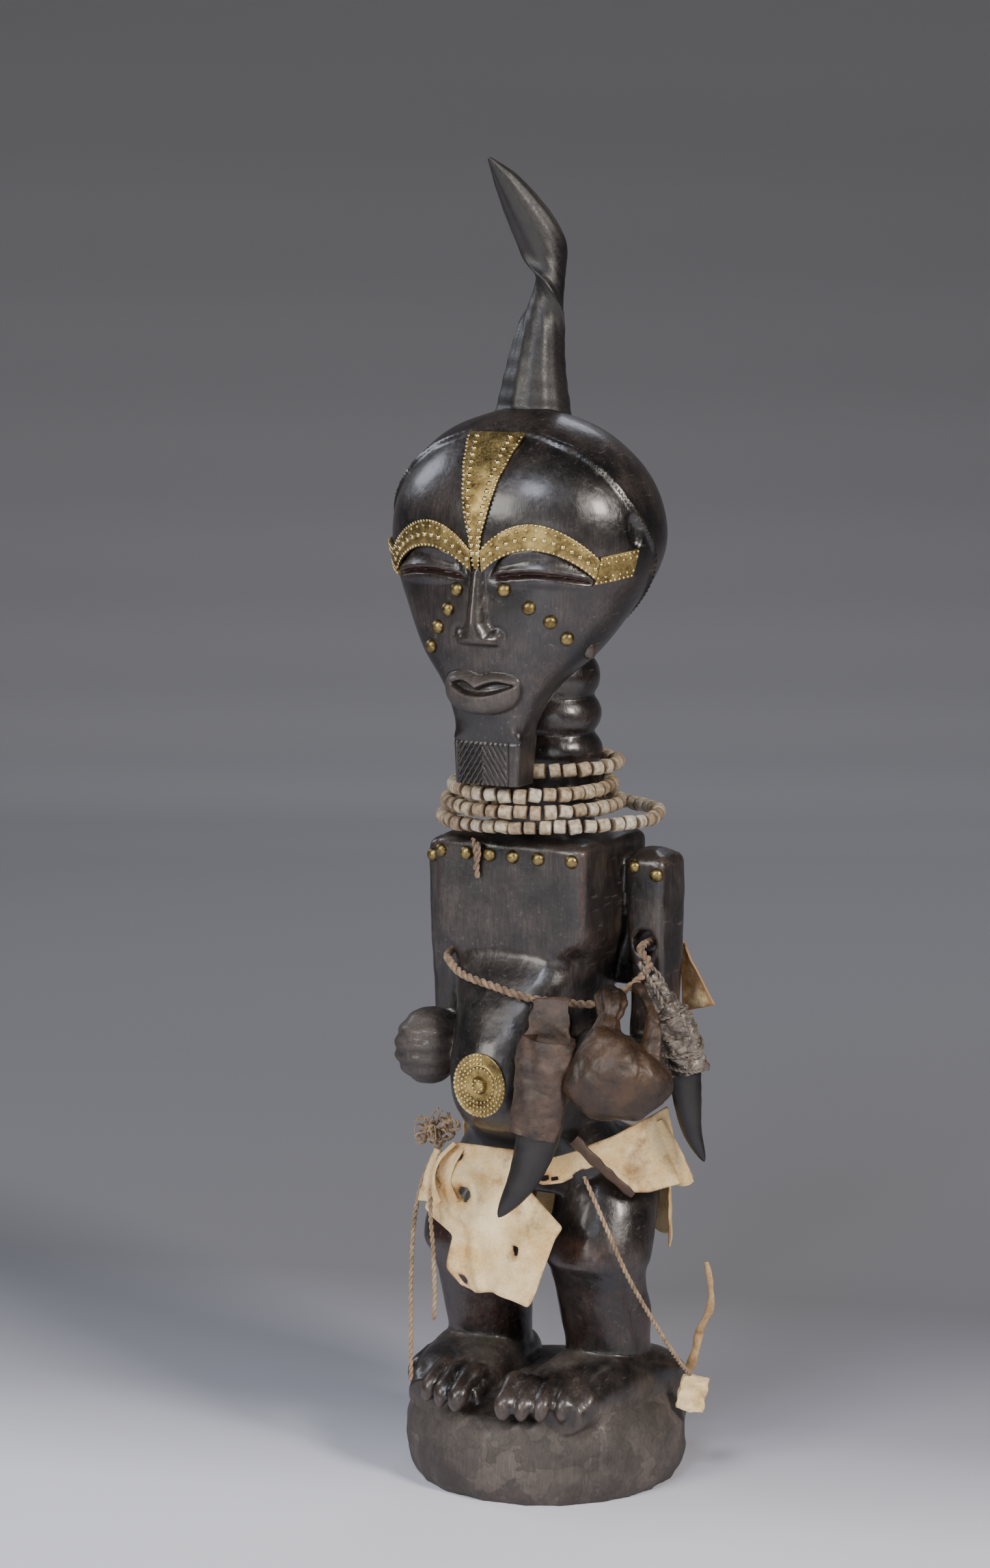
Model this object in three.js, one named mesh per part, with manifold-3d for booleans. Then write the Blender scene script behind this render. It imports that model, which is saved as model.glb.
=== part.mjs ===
// A carved wooden power figure: a standing man with bent knees, hands held to a long belly and a
// large domed head, cut from one log together with the round base under his feet. An antelope
// horn is set in the crown. Brass strips and domed nails dress the head and chest, bead strands
// lie round the neck, and ropes carry two small horns, a skin pouch and a hide skirt.
// Millimetres, +Z up. The figure faces -Y, its left hand is at +X, and the origin is the centre
// of the flat underside.
import * as THREE from "three";
import { mergeVertices } from "three/addons/utils/BufferGeometryUtils.js";
import Module from "manifold-3d";

const wasm = await Module();
wasm.setup();

// Driving dimensions
const DEGREE = Math.PI / 180;
const AIR = 0.4; // left between two pieces that touch
const BASE_RADIUS = 88;
const BASE_HEIGHT = 61;
const CHEST_TOP = 393;
const BEARD_BOTTOM = 434;
const BROW_HEIGHT = 562;
const SKULL_TOP = 650;
const HORN_TIP = 796;
const LEG_SPREAD = 41; // from the middle plane to a leg's axis
const ARM_OUT = 68; // from the middle plane to an upper arm's axis
const HAND_OUT = 58;
const HAND_HEIGHT = 266;
const TOES = 5;
const FIRST_TOE = 14;
const TOE_STEP = 11.6;
const TOE_SLOPE = DEGREE * 42; // below level
const NAIL_RADIUS = 4.2;
const ROPE_RADIUS = 2.6;
const THIN_CORD_RADIUS = 1.5;
const HIDE_THICKNESS = 2.2;
const BRASS_THICKNESS = 1.2;
const BEAD_RADIUS = 4.1;
const BEAD_LENGTH = 12;
const SIDE_TURN = DEGREE * 28; // how far round to the left the charms hang

// Solids and meshes

function toSolid(geometry) {
  const bare = new THREE.BufferGeometry();
  bare.setAttribute("position", geometry.getAttribute("position"));
  if (geometry.index) bare.setIndex(geometry.index);
  const merged = mergeVertices(bare, 1e-4);
  return new wasm.Manifold(
    new wasm.Mesh({
      numProp: 3,
      vertProperties: new Float32Array(merged.attributes.position.array),
      triVerts: new Uint32Array(merged.index.array),
    }),
  );
}

function toGeometry(solid) {
  const made = solid.getMesh();
  const geometry = new THREE.BufferGeometry();
  geometry.setAttribute("position", new THREE.BufferAttribute(made.vertProperties, 3));
  geometry.setIndex(new THREE.BufferAttribute(made.triVerts, 1));
  geometry.computeVertexNormals();
  return geometry;
}

const solidOf = (shape) => (shape.isBufferGeometry ? toSolid(shape) : shape);
const joined = (shapes) => shapes.map(solidOf).reduce((whole, next) => whole.add(next));

// A closed surface from its corner points and its triangles, turned to face out
function closed(points, faces) {
  const volume = faces.reduce((sum, [a, b, c]) => {
    const normal = new THREE.Vector3().crossVectors(points[b], points[c]);
    return sum + points[a].dot(normal);
  }, 0);
  if (volume < 0) faces.forEach((face) => face.reverse());
  const geometry = new THREE.BufferGeometry().setFromPoints(points);
  geometry.setIndex(faces.flat());
  geometry.computeVertexNormals();
  return geometry;
}

// The closed surface through a row of rings. An open row is capped, and a loop meets itself.
function skin(rings, loop = false) {
  const sides = rings[0].length;
  const points = rings.flat();
  const faces = [];
  const spans = loop ? rings.length : rings.length - 1;
  for (let row = 0; row < spans; row++) {
    const here = row * sides;
    const there = ((row + 1) % rings.length) * sides;
    for (let i = 0; i < sides; i++) {
      const next = (i + 1) % sides;
      faces.push([here + i, here + next, there + i], [here + next, there + next, there + i]);
    }
  }
  if (!loop) {
    const last = (rings.length - 1) * sides;
    const [low, high] = [rings[0], rings.at(-1)].map((ring) => {
      const middle = ring.reduce((sum, p) => sum.add(p), new THREE.Vector3());
      return points.push(middle.divideScalar(sides)) - 1;
    });
    for (let i = 0; i < sides; i++) {
      const next = (i + 1) % sides;
      faces.push([low, next, i], [high, last + i, last + next]);
    }
  }
  return closed(points, faces);
}

// Lofts: a form is a few key sections up its height, each an oval with its own depth in front and
// behind, rounder or squarer by its power

const DEFAULTS = { x: 0, y: 0, power: 2 };
const { lerp, clamp, degToRad } = THREE.MathUtils;

function sectionAt(keys, z) {
  const full = (key) => ({ ...DEFAULTS, back: key.front, ...key });
  let i = keys.findIndex((key) => key.z > z) - 1;
  if (i < 0) i = z <= keys[0].z ? 0 : keys.length - 2;
  const [p0, p1, p2, p3] = [i - 1, i, i + 1, i + 2].map((k) =>
    full(keys[clamp(k, 0, keys.length - 1)]),
  );
  const t = clamp((z - p1.z) / (p2.z - p1.z), 0, 1);
  const found = { z };
  for (const part of ["x", "y", "half", "front", "back", "power"]) {
    const rise = (low, high) => ((high[part] - low[part]) / (high.z - low.z)) * (p2.z - p1.z);
    const slopeIn = i === 0 ? rise(p1, p2) : rise(p0, p2);
    const slopeOut = p3.z === p2.z ? rise(p1, p2) : rise(p1, p3);
    const [t2, t3] = [t * t, t * t * t];
    found[part] =
      (2 * t3 - 3 * t2 + 1) * p1[part] +
      (t3 - 2 * t2 + t) * slopeIn +
      (3 * t2 - 2 * t3) * p2[part] +
      (t3 - t2) * slopeOut;
  }
  return found;
}

const signedPower = (value, power) => Math.sign(value) * Math.abs(value) ** power;

// The point of a section at an angle from straight ahead, towards the figure's left
function onSection(s, angle) {
  const [across, along] = [Math.sin(angle), -Math.cos(angle)];
  const depth = along < 0 ? s.front : s.back;
  return new THREE.Vector3(
    s.x + s.half * signedPower(across, 2 / s.power),
    s.y + depth * signedPower(along, 2 / s.power),
    s.z,
  );
}

function ringOf(section, sides) {
  return Array.from({ length: sides }, (_, i) =>
    onSection(section, ((i + 0.5) / sides) * 2 * Math.PI),
  );
}

function loft(keys, sides, heights) {
  return skin(heights.map((z) => ringOf(sectionAt(keys, z), sides)));
}

const keyHeights = (keys) => keys.map((key) => key.z);

// The front of a form at a place across it and up it, and the direction it faces there
function frontOf(keys, x, z) {
  const s = sectionAt(keys, z);
  const share = Math.min(1, Math.abs((x - s.x) / s.half));
  return s.y - s.front * (1 - share ** s.power) ** (1 / s.power);
}

function frontSpot(keys, x, z) {
  const slope = (dx, dz) => (frontOf(keys, x + dx, z + dz) - frontOf(keys, x - dx, z - dz)) / 2;
  return {
    place: new THREE.Vector3(x, frontOf(keys, x, z), z),
    normal: new THREE.Vector3(slope(1, 0), -1, slope(0, 1)).normalize(),
  };
}

const mirrored = (keys) => keys.map((key) => ({ ...key, x: -(key.x ?? 0) }));
const bothSides = (keys) => [keys, mirrored(keys)];

function ball(radii, centre, sides = 12, rows = 7) {
  const geometry = new THREE.SphereGeometry(1, sides, rows);
  geometry.rotateX(Math.PI / 2);
  return geometry.scale(...radii).translate(...centre);
}

// A tapering round or oval bar along a smooth line. The shape gives two radii at each share of the
// way, and twist turns the section as it goes.
function bar(points, sides, steps, shape, twist = 0, loop = false) {
  const line = new THREE.CatmullRomCurve3(points, loop, "centripetal");
  const frames = line.computeFrenetFrames(steps, loop);
  const rings = [];
  for (let i = 0; i < (loop ? steps : steps + 1); i++) {
    const share = i / steps;
    const centre = line.getPointAt(share);
    const [wide, deep] = shape(share);
    rings.push(
      Array.from({ length: sides }, (_, k) => {
        const angle = (k / sides) * 2 * Math.PI;
        const [u, v] = [wide * Math.cos(angle), deep * Math.sin(angle)];
        const [c, s] = [Math.cos(twist * share), Math.sin(twist * share)];
        return centre
          .clone()
          .addScaledVector(frames.normals[i], u * c - v * s)
          .addScaledVector(frames.binormals[i], u * s + v * c);
      }),
    );
  }
  return skin(rings, loop);
}

// A place beside the body, in the frame that is turned round to the left by SIDE_TURN
function beside(across, out, z) {
  const [c, s] = [Math.cos(SIDE_TURN), Math.sin(SIDE_TURN)];
  return new THREE.Vector3(across * c + out * s, across * s - out * c, z);
}

// The wooden figure

const baseProfile = [
  [0, 0],
  [BASE_RADIUS - 6, 0],
  [BASE_RADIUS - 2, 7],
  [BASE_RADIUS, 24],
  [BASE_RADIUS - 2, 38],
  [BASE_RADIUS - 10, 50],
  [BASE_RADIUS - 30, BASE_HEIGHT - 3],
  [0, BASE_HEIGHT],
];

function baseBlock() {
  const outline = baseProfile.map(([r, z]) => new THREE.Vector2(r, z));
  return new THREE.LatheGeometry(outline, 26).rotateX(Math.PI / 2);
}

// Belly, chest and hips are one long form. The belly is the deep part of it in front.
const trunk = [
  { z: 180, y: 4, half: 60, front: 34, back: 40, power: 2.4 },
  { z: 200, y: 2, half: 56, front: 38, back: 42, power: 2.4 },
  { z: 213, y: -6, half: 44, front: 40, back: 42, power: 2.4 },
  { z: 220, y: -8, half: 38, front: 52, back: 40, power: 2.3 },
  { z: 228, y: -8, half: 38, front: 66, back: 39, power: 2.2 },
  { z: 242, y: -8, half: 41, front: 77, back: 38, power: 2.2 },
  { z: 256, y: -8, half: 42, front: 79, back: 38, power: 2.2 },
  { z: 275, y: -8, half: 42, front: 74, back: 38, power: 2.2 },
  { z: 295, y: -8, half: 42, front: 64, back: 38, power: 2.4 },
  { z: 312, y: -8, half: 44, front: 54, back: 39, power: 3 },
  { z: 328, y: -8, half: 47, front: 44, back: 41, power: 4 },
  { z: 342, y: -8, half: 51, front: 43.5, back: 43, power: 8 },
  { z: 380, y: -8, half: 51.5, front: 43, back: 43, power: 8 },
  { z: CHEST_TOP - 1, y: -8, half: 51.2, front: 43, back: 42.4, power: 10 },
  { z: CHEST_TOP + 4, y: -8, half: 46, front: 38.5, back: 38.5, power: 7 },
  { z: CHEST_TOP + 8, y: -10, half: 24, front: 24, back: 24, power: 2.5 },
];

const leg = [
  { z: 64, x: LEG_SPREAD, y: 5, half: 26, front: 27, back: 26 },
  { z: 84, x: LEG_SPREAD, y: 3, half: 26, front: 27, back: 25 },
  { z: 104, x: LEG_SPREAD, y: -1, half: 28, front: 28, back: 27 },
  { z: 122, x: LEG_SPREAD, y: -6, half: 28.5, front: 29, back: 22 },
  { z: 134, x: LEG_SPREAD + 0.5, y: -11, half: 30, front: 30, back: 22 },
  { z: 142, x: LEG_SPREAD + 1, y: -12, half: 33, front: 33, back: 26 },
  { z: 160, x: LEG_SPREAD + 1, y: -7, half: 32, front: 33, back: 34 },
  { z: 180, x: LEG_SPREAD - 1, y: 2, half: 30, front: 33, back: 38 },
  { z: 198, x: LEG_SPREAD - 6, y: 6, half: 25, front: 28, back: 34 },
];

const upperArm = [
  { z: 250, x: ARM_OUT - 2, y: 16, half: 7, front: 8, back: 9, power: 2 },
  { z: 258, x: ARM_OUT - 2, y: 14, half: 12, front: 14, back: 17, power: 2.2 },
  { z: 275, x: ARM_OUT - 1, y: 11, half: 13, front: 16, back: 18, power: 2.6 },
  { z: 300, x: ARM_OUT, y: 10, half: 12.5, front: 15, back: 17, power: 3 },
  { z: 374, x: ARM_OUT, y: 10, half: 12.5, front: 15.5, back: 17, power: 6 },
  { z: 384, x: ARM_OUT - 0.5, y: 10, half: 11.5, front: 14, back: 15.5, power: 5 },
  { z: 389, x: ARM_OUT - 4, y: 10, half: 5, front: 7, back: 8, power: 2 },
];

// A web joins arm and body behind a narrow slot that stays open in front. It reaches down to the
// hand on the left, and on the right it ends above the rope.
const shoulder = {
  out: 54,
  deep: 16,
  wide: 26,
  thick: 22,
  top: 385,
  bottom: { left: 305, right: 351 },
};

// The neck is a stack of rolls of hair, growing a little towards the bottom
const hairRolls = [
  { low: CHEST_TOP - 4, high: 436, half: 29, back: 29 },
  { low: 436, high: 457, half: 33.5, back: 31 },
  { low: 457, high: 479, half: 33, back: 30 },
  { low: 479, high: 503, half: 32, back: 29 },
  { low: 503, high: 524, half: 33, back: 30 },
];

const head = [
  { z: BEARD_BOTTOM, y: -66.5, half: 21, front: 11, back: 11, power: 9 },
  { z: 460, y: -66, half: 22.5, front: 12, back: 13, power: 8 },
  { z: 466, y: -65, half: 23, front: 14, back: 14, power: 4 },
  { z: 478, y: -62, half: 27, front: 18.5, back: 20, power: 3 },
  { z: 492, y: -57, half: 35, front: 26, back: 28, power: 2.6 },
  { z: 511, y: -47, half: 53, front: 38, back: 45, power: 2.3 },
  { z: 536, y: -36, half: 69, front: 51, back: 60, power: 2.1 },
  { z: 558, y: -30, half: 80, front: 57, back: 70, power: 2.05 },
  { z: 576, y: -28, half: 84, front: 61, back: 75, power: 2 },
  { z: 596, y: -28, half: 81, front: 60, back: 73, power: 2 },
  { z: 614, y: -28, half: 72, front: 54, back: 66, power: 2 },
  { z: 630, y: -28, half: 57, front: 43, back: 52, power: 2 },
  { z: 641, y: -28, half: 40, front: 30, back: 36, power: 2 },
  { z: SKULL_TOP, y: -26, half: 14, front: 11, back: 13, power: 2 },
];

function hairRing() {
  const shares = [0.87, 1, 0.98];
  const rolls = hairRolls.flatMap(({ low, high, half, back }) =>
    shares.map((share, i) => ({
      z: low + ((high - low) * i) / shares.length,
      y: -3,
      half: half * share,
      front: 26 * share,
      back: back * share,
      power: 2.2,
    })),
  );
  return [...rolls, { z: 540, y: -3, half: 24, front: 26, back: 22, power: 2.2 }];
}

// The soles lie in the base, and the toes bend down over its rim
function foot(side) {
  const sides = 10;
  const sections = [
    { along: 46, across: 56, half: 18, low: 46, high: 66 },
    { along: 32, across: 48, half: 28, low: 42, high: 76 },
    { along: 0, across: 43, half: 31, low: 40, high: 83 },
    { along: -32, across: 40, half: 29, low: 40, high: 81 },
    { along: -52, across: 37, half: 27, low: 42, high: 77 },
    { along: -68, across: 35, half: 24, low: 44, high: 66 },
  ];
  const rings = sections.map(({ along, across, half, low, high }) =>
    Array.from({ length: sides }, (_, i) => {
      const angle = ((i + 0.5) / sides) * 2 * Math.PI;
      return new THREE.Vector3(
        side * across + half * signedPower(Math.cos(angle), 0.7),
        along,
        (low + high) / 2 + ((high - low) / 2) * signedPower(Math.sin(angle), 0.8),
      );
    }),
  );
  const toes = Array.from({ length: TOES }, (_, i) => {
    const across = FIRST_TOE + i * TOE_STEP;
    const thick = i === 0 ? 7.4 : 6.2;
    const rim = Math.sqrt((BASE_RADIUS - 13) ** 2 - across ** 2);
    const toe = ball([thick, 19, 8], [0, 0, 0], 5, 4).rotateX(TOE_SLOPE);
    return toe.translate(side * across, -rim, 64);
  });
  return [skin(rings), ...toes];
}

// A closed hand: a rounded block with the fingers as level ridges round it
function hand(side) {
  const fingers = 7;
  const [wide, deep, tall] = [20, 23, 23];
  const rings = [];
  for (let i = 0; i <= fingers * 2; i++) {
    const level = -1 + i / fingers;
    const bulge = Math.sqrt(Math.max(0.12, 1 - 0.9 * level * level));
    const swell = i % 2 ? 1 : 0.9;
    rings.push(
      ringOf(
        {
          x: side * HAND_OUT,
          y: -42,
          z: HAND_HEIGHT + level * tall,
          half: wide * bulge * swell,
          front: deep * bulge * swell,
          back: deep * bulge * swell,
          power: 2.3,
        },
        8,
      ),
    );
  }
  return skin(rings);
}

function forearm(side) {
  const points = [
    [side * (ARM_OUT - 1), 28, HAND_HEIGHT + 2],
    [side * (ARM_OUT - 2), 8, HAND_HEIGHT],
    [side * (HAND_OUT + 5), -30, HAND_HEIGHT],
  ].map((p) => new THREE.Vector3(...p));
  return bar(points, 8, 2, () => [12.5, 12.5]);
}

function nose() {
  const keys = [
    { z: 517, y: -82, half: 15.5, front: 11, back: 8, power: 1.6 },
    { z: 521, y: -82, half: 14, front: 14.5, back: 8, power: 1.5 },
    { z: 530, y: -82, half: 8.5, front: 14, back: 8, power: 1.7 },
    { z: 550, y: -82, half: 6, front: 10, back: 8, power: 1.8 },
    { z: BROW_HEIGHT, y: -82, half: 5, front: 7, back: 8, power: 2 },
  ];
  return loft(keys, 8, keyHeights(keys));
}

const EYE = { across: 37, height: 555.5 };

function figure() {
  const hair = hairRing();
  const parts = [
    baseBlock(),
    loft(trunk, 18, keyHeights(trunk)),
    ...bothSides(leg).map((keys) => loft(keys, 12, keyHeights(keys))),
    ...bothSides(upperArm).map((keys) => loft(keys, 10, keyHeights(keys))),
    loft(hair, 10, keyHeights(hair)),
    headBlock(),
    nose(),
  ];
  for (const side of [1, -1]) {
    const { out, deep, wide, thick, top, bottom } = shoulder;
    const low = side > 0 ? bottom.left : bottom.right;
    const web = new THREE.BoxGeometry(wide, thick, top - low);
    parts.push(web.translate(side * out, deep, (top + low) / 2));
    parts.push(...foot(side), hand(side), forearm(side));
    parts.push(ball([25, 24, 24], [side * 27, 26, 192], 8, 4)); // seat
    parts.push(ball([5, 7, 8], [side * 54, -50, 514], 5, 4)); // ear
    parts.push(ball([27, 15, 10.5], [side * EYE.across, -66.5, EYE.height], 10, 5)); // lids
  }
  parts.push(ball([26, 12, 12], [0, -81, 489], 12, 6)); // lips
  const mouth = ball([18, 8, 5], [0, -92, 490], 8, 4);
  return joined(parts).subtract(toSolid(mouth)).subtract(armHole()).subtract(discSeat());
}

const HEAD_SIDES = 22;

// The skull with the two hollows that the eyes lie in
function headBlock() {
  const heights = [...head.map((key) => key.z), 524, 547].sort((a, b) => a - b);
  let solid = toSolid(loft(head, HEAD_SIDES, heights));
  for (const side of [1, -1]) {
    const socket = ball([33, 12, 15], [side * EYE.across, -87, EYE.height + 2], 8, 5);
    solid = solid.subtract(toSolid(socket));
  }
  return solid;
}

const ARM_HOLE = { x: 68, z: 334, radius: 7.5 };

function armHole() {
  const { x, z, radius } = ARM_HOLE;
  return toSolid(new THREE.CylinderGeometry(radius, radius, 90, 10).translate(x, 15, z));
}

// The flat that the belly disc lies on
const DISC = { radius: 17.5, height: 256, face: -83.5 };

function discSeat() {
  const { height, face } = DISC;
  return toSolid(new THREE.BoxGeometry(50, 12, 50).translate(0, face - 6, height));
}

// Horns, each an oval bar that turns as it rises

function pick(list, share) {
  const at = share * (list.length - 1);
  const low = Math.min(Math.floor(at), list.length - 2);
  return lerp(list[low], list[low + 1], at - low);
}

function crownHorn() {
  const points = [
    [0, -14, SKULL_TOP - 1.5],
    [0.5, -13, 668],
    [2, -10, 690],
    [5, -6, 712],
    [7, -5, 730],
    [2, -9, 748],
    [-9, -18, 768],
    [-17, -25, 783],
    [-23, -31, HORN_TIP],
  ].map((p) => new THREE.Vector3(...p));
  const widths = [24, 19, 15.5, 12.5, 11.5, 12.5, 11, 7.5, 1.5];
  const flat = [20, 17, 14.5, 11.5, 9.5, 8.5, 7, 4.5, 1.2];
  const horn = bar(points, 8, 12, (t) => [pick(widths, t), pick(flat, t)], Math.PI);
  return toSolid(horn).subtract(skullCap());
}

// The top of the skull a little enlarged, which the crown horn's foot is fitted to
function skullCap() {
  const grown = head
    .filter((key) => key.z > 600)
    .map((key) => ({
      ...key,
      z: key.z + AIR,
      half: key.half + AIR,
      front: key.front + AIR,
      back: key.back + AIR,
    }));
  return toSolid(loft(grown, HEAD_SIDES, keyHeights(grown)));
}

// Brass on the head lies on the skull: a strip of it is a run of places, each with an angle round
// the head from straight ahead, a height, and half the strip's width there

function onHead(angle, z, out) {
  const here = onSection(sectionAt(head, z), angle);
  const turned = onSection(sectionAt(head, z), angle + 0.02);
  const above = onSection(sectionAt(head, z + 1), angle);
  const normal = turned.sub(here).cross(above.sub(here)).normalize();
  return here.addScaledVector(normal, out);
}

function headSpot(degrees, z) {
  const angle = degToRad(degrees);
  const place = onHead(angle, z, 0);
  return { place, normal: onHead(angle, z, 1).sub(place).normalize() };
}

function brassStrip(places) {
  const rings = places.map(([degrees, z, spreadDegrees, spreadUp]) => {
    const corner = (side, out) =>
      onHead(
        degToRad(degrees + side * spreadDegrees),
        z + side * spreadUp,
        out,
      );
    const low = AIR + 0.8;
    const high = low + BRASS_THICKNESS;
    const across = [-1, 0, 1];
    return [
      ...across.map((side) => corner(side, low)),
      ...across.reverse().map((side) => corner(side, high)),
    ];
  });
  return skin(rings);
}

const foreheadStrip = Array.from({ length: 7 }, (_, i) => {
  const share = i / 6;
  const spread = Math.min(1.5 + 18 * share, 5) + 14 * share ** 4;
  return [0, lerp(BROW_HEIGHT + 5, 637, share), spread, 0];
});

const browStrip = (side) =>
  Array.from({ length: 8 }, (_, i) => {
    const share = i / 7;
    const rise = Math.sin(Math.PI * (0.1 + 0.86 * share) ** 0.86);
    return [side * (4 + 49 * share), BROW_HEIGHT - 2 + 21 * rise, 0, 5.5 + 2 * rise];
  });

const templeStrip = (side) =>
  [0, 0.5, 1].map((share) => [side * (55.5 + 20 * share), 561.5 + 4 * share, 0, 8]);

// Domed nails: a shallow brass dome that sits on the wood

function nail({ place, normal }) {
  const dome = new THREE.LatheGeometry(
    [
      [0, 0],
      [NAIL_RADIUS, 0],
      [NAIL_RADIUS * 0.8, 1.6],
      [0, 2.6],
    ].map((p) => new THREE.Vector2(...p)),
    6,
  );
  const turn = new THREE.Quaternion().setFromUnitVectors(new THREE.Vector3(0, 1, 0), normal);
  dome.applyQuaternion(turn);
  return dome.translate(...place.clone().addScaledVector(normal, AIR));
}

const CHEST_NAIL_HEIGHT = 388;
const chestNails = [-45, -27, -11.5, 4, 21, 43];
const armNails = [
  [61, 380],
  [76, 376],
];
const cheekNails = {
  left: [
    [12, 550],
    [25, 540],
    [38, 532],
    [53, 522],
  ],
  right: [
    [10, 549],
    [16, 537],
    [25, 526],
    [37, 514],
  ],
};

function bellyDisc() {
  const { radius, height, face } = DISC;
  const outline = [
    [0, 0],
    [radius, 0],
    [radius, 1.6],
    [radius - 2, 2.8],
    [radius - 4, 1.8],
    [6, 1.8],
    [3.5, 4],
    [0, 4.8],
  ].map((p) => new THREE.Vector2(...p));
  return new THREE.LatheGeometry(outline, 12)
    .rotateX(Math.PI)
    .scale(1, 1, 1.1)
    .translate(0, face - AIR, height);
}

// Bead strands: closed chains round the neck, a crest and a waist for each bead

const strands = [
  { name: "bead_strand_top", x: 0, y: -4, half: 45, deep: 42, z: 438, tilt: 2 },
  { name: "bead_strand_second", x: 0, y: -19.5, half: 46, deep: 50.5, z: 427.5, tilt: 0 },
  { name: "bead_strand_third", x: 0, y: -18, half: 52, deep: 50.5, z: 417.5, tilt: 0 },
  { name: "bead_strand_bottom", x: 4, y: -4, half: 66, deep: 60, z: 407.5, tilt: 2 },
];

function strandPoints({ x, y, half, deep, z, tilt }, count) {
  return Array.from({ length: count }, (_, i) => {
    const angle = (i / count) * 2 * Math.PI;
    return new THREE.Vector3(
      x + half * Math.sin(angle),
      y - deep * Math.cos(angle),
      z + tilt * Math.sin(angle),
    );
  });
}

function beadStrand(strand) {
  const line = strandPoints(strand, 20);
  const length = new THREE.CatmullRomCurve3(line, true).getLength();
  const beads = Math.round(length / BEAD_LENGTH);
  const size = (share) => {
    const crest = Math.round(share * beads * 2) % 2 === 0;
    const radius = crest ? BEAD_RADIUS : BEAD_RADIUS * 0.72;
    return [radius, radius];
  };
  return bar(line, 4, beads * 2, size, 0, true);
}

// Ropes and cords

// A place round the trunk, at an angle in degrees from straight ahead towards the left
function roundTrunk(degrees, z, out) {
  const s = sectionAt(trunk, z);
  const grown = { ...s, half: s.half + out, front: s.front + out, back: s.back + out };
  return onSection(grown, degToRad(degrees));
}

function charmRope() {
  const out = ROPE_RADIUS + 2;
  const throughArm = [
    [ARM_HOLE.x + 2, -14, ARM_HOLE.z - 2],
    [ARM_HOLE.x, 4, ARM_HOLE.z],
    [ARM_HOLE.x, 28, ARM_HOLE.z],
    [60, 40, ARM_HOLE.z],
  ].map((p) => new THREE.Vector3(...p));
  const points = [
    ...[-40, -20, 0, 20].map((degrees) => roundTrunk(degrees, 312 - 0.22 * degrees, out)),
    beside(12, 70, 304.5),
    beside(30, 74, 305.5),
    beside(48, 70, 314),
    beside(60, 58, 325),
    ...throughArm,
    ...[150, 180, 210, 240, 270, 295].map((degrees) => roundTrunk(degrees, 340 - 0.06 * degrees, out)),
  ];
  return bar(points, 4, 38, () => [ROPE_RADIUS, ROPE_RADIUS], 0, true);
}

function waistRope() {
  const points = Array.from({ length: 20 }, (_, i) => {
    const degrees = (i / 20) * 360;
    const z = 219 - 3 * Math.cos(degToRad(degrees));
    return roundTrunk(degrees, z, ROPE_RADIUS + 4.5);
  });
  return bar(points, 4, 26, () => [ROPE_RADIUS, ROPE_RADIUS], 0, true);
}

// The small horns. A sheath or wrap is bored to the horn's own shape, a little larger.

const frontHorn = {
  thick: 14.5,
  fullness: 2.4,
  line: [
    beside(-3, 98, 272),
    beside(-3, 99, 252),
    beside(-7, 100, 226),
    beside(-15, 101, 204),
    beside(-28.5, 101, 183),
  ],
};
const sideHorn = {
  thick: 10.5,
  fullness: 1.8,
  line: [
    beside(77, 60, 288),
    beside(80, 61, 270),
    beside(83, 62, 248),
    beside(87, 62, 226),
    beside(96, 62, 206),
  ],
};

const hornBar = ({ line, thick, fullness }, extra = 0) =>
  bar(line, 8, 7, (t) => {
    const radius = thick * (1 - 0.88 * t ** fullness) + extra;
    return [radius, radius * 0.9];
  });

function sleeve(line, radii, horn) {
  const outer = bar(line, 8, 4, (t) => [pick(radii, t), pick(radii, t) * 0.92]);
  return toSolid(outer).subtract(toSolid(hornBar(horn, AIR)));
}

function frontSheath() {
  const line = [beside(-3, 98, 286), beside(-3, 98.5, 262), beside(-6, 100, 232)];
  const mouth = toSolid(bar([beside(-3, 98, 266), beside(-3, 98, 295)], 8, 1, () => [13.5, 12.5]));
  const tab = bar([beside(0, 78.5, 308), beside(0, 79, 296), beside(-2, 83, 276)], 6, 3, () => [13, 2.6]);
  return sleeve(line, [17, 18, 18.5, 17.5, 16], frontHorn).add(toSolid(tab)).subtract(mouth);
}

function sideWrap() {
  const line = [beside(64, 62, 321), beside(70, 61, 308), beside(77, 61, 290), beside(82, 62, 262)];
  return sleeve(line, [4.5, 9, 14, 13.5, 12.5], sideHorn);
}

function pouch() {
  const body = ball([30.5, 20, 28], [0, 0, 0], 10, 6);
  body.rotateZ(SIDE_TURN).translate(...beside(42.5, 110, 268.5));
  const throat = bar(
    [beside(38, 110, 286), beside(34, 103, 300), beside(34, 92, 311), beside(33, 81, 316)],
    6,
    3,
    (t) => [11 - 5 * t + 3.5 * t ** 3, 9 - 2 * t],
  );
  const strap = bar(
    [beside(57, 107, 288), beside(59, 99, 302), beside(57, 88, 315), beside(51, 81, 320)],
    4,
    3,
    () => [2.4, 2.4],
  );
  const neckLine = [beside(34, 83, 316), beside(42, 81.5, 319), beside(51, 81, 320)];
  const neckBand = bar(neckLine, 4, 2, () => [2.4, 2.4]);
  return joined([body, throat, strap, neckBand]);
}

// Hide: a curved sheet over a grid of places, given thickness along its own normals

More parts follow.
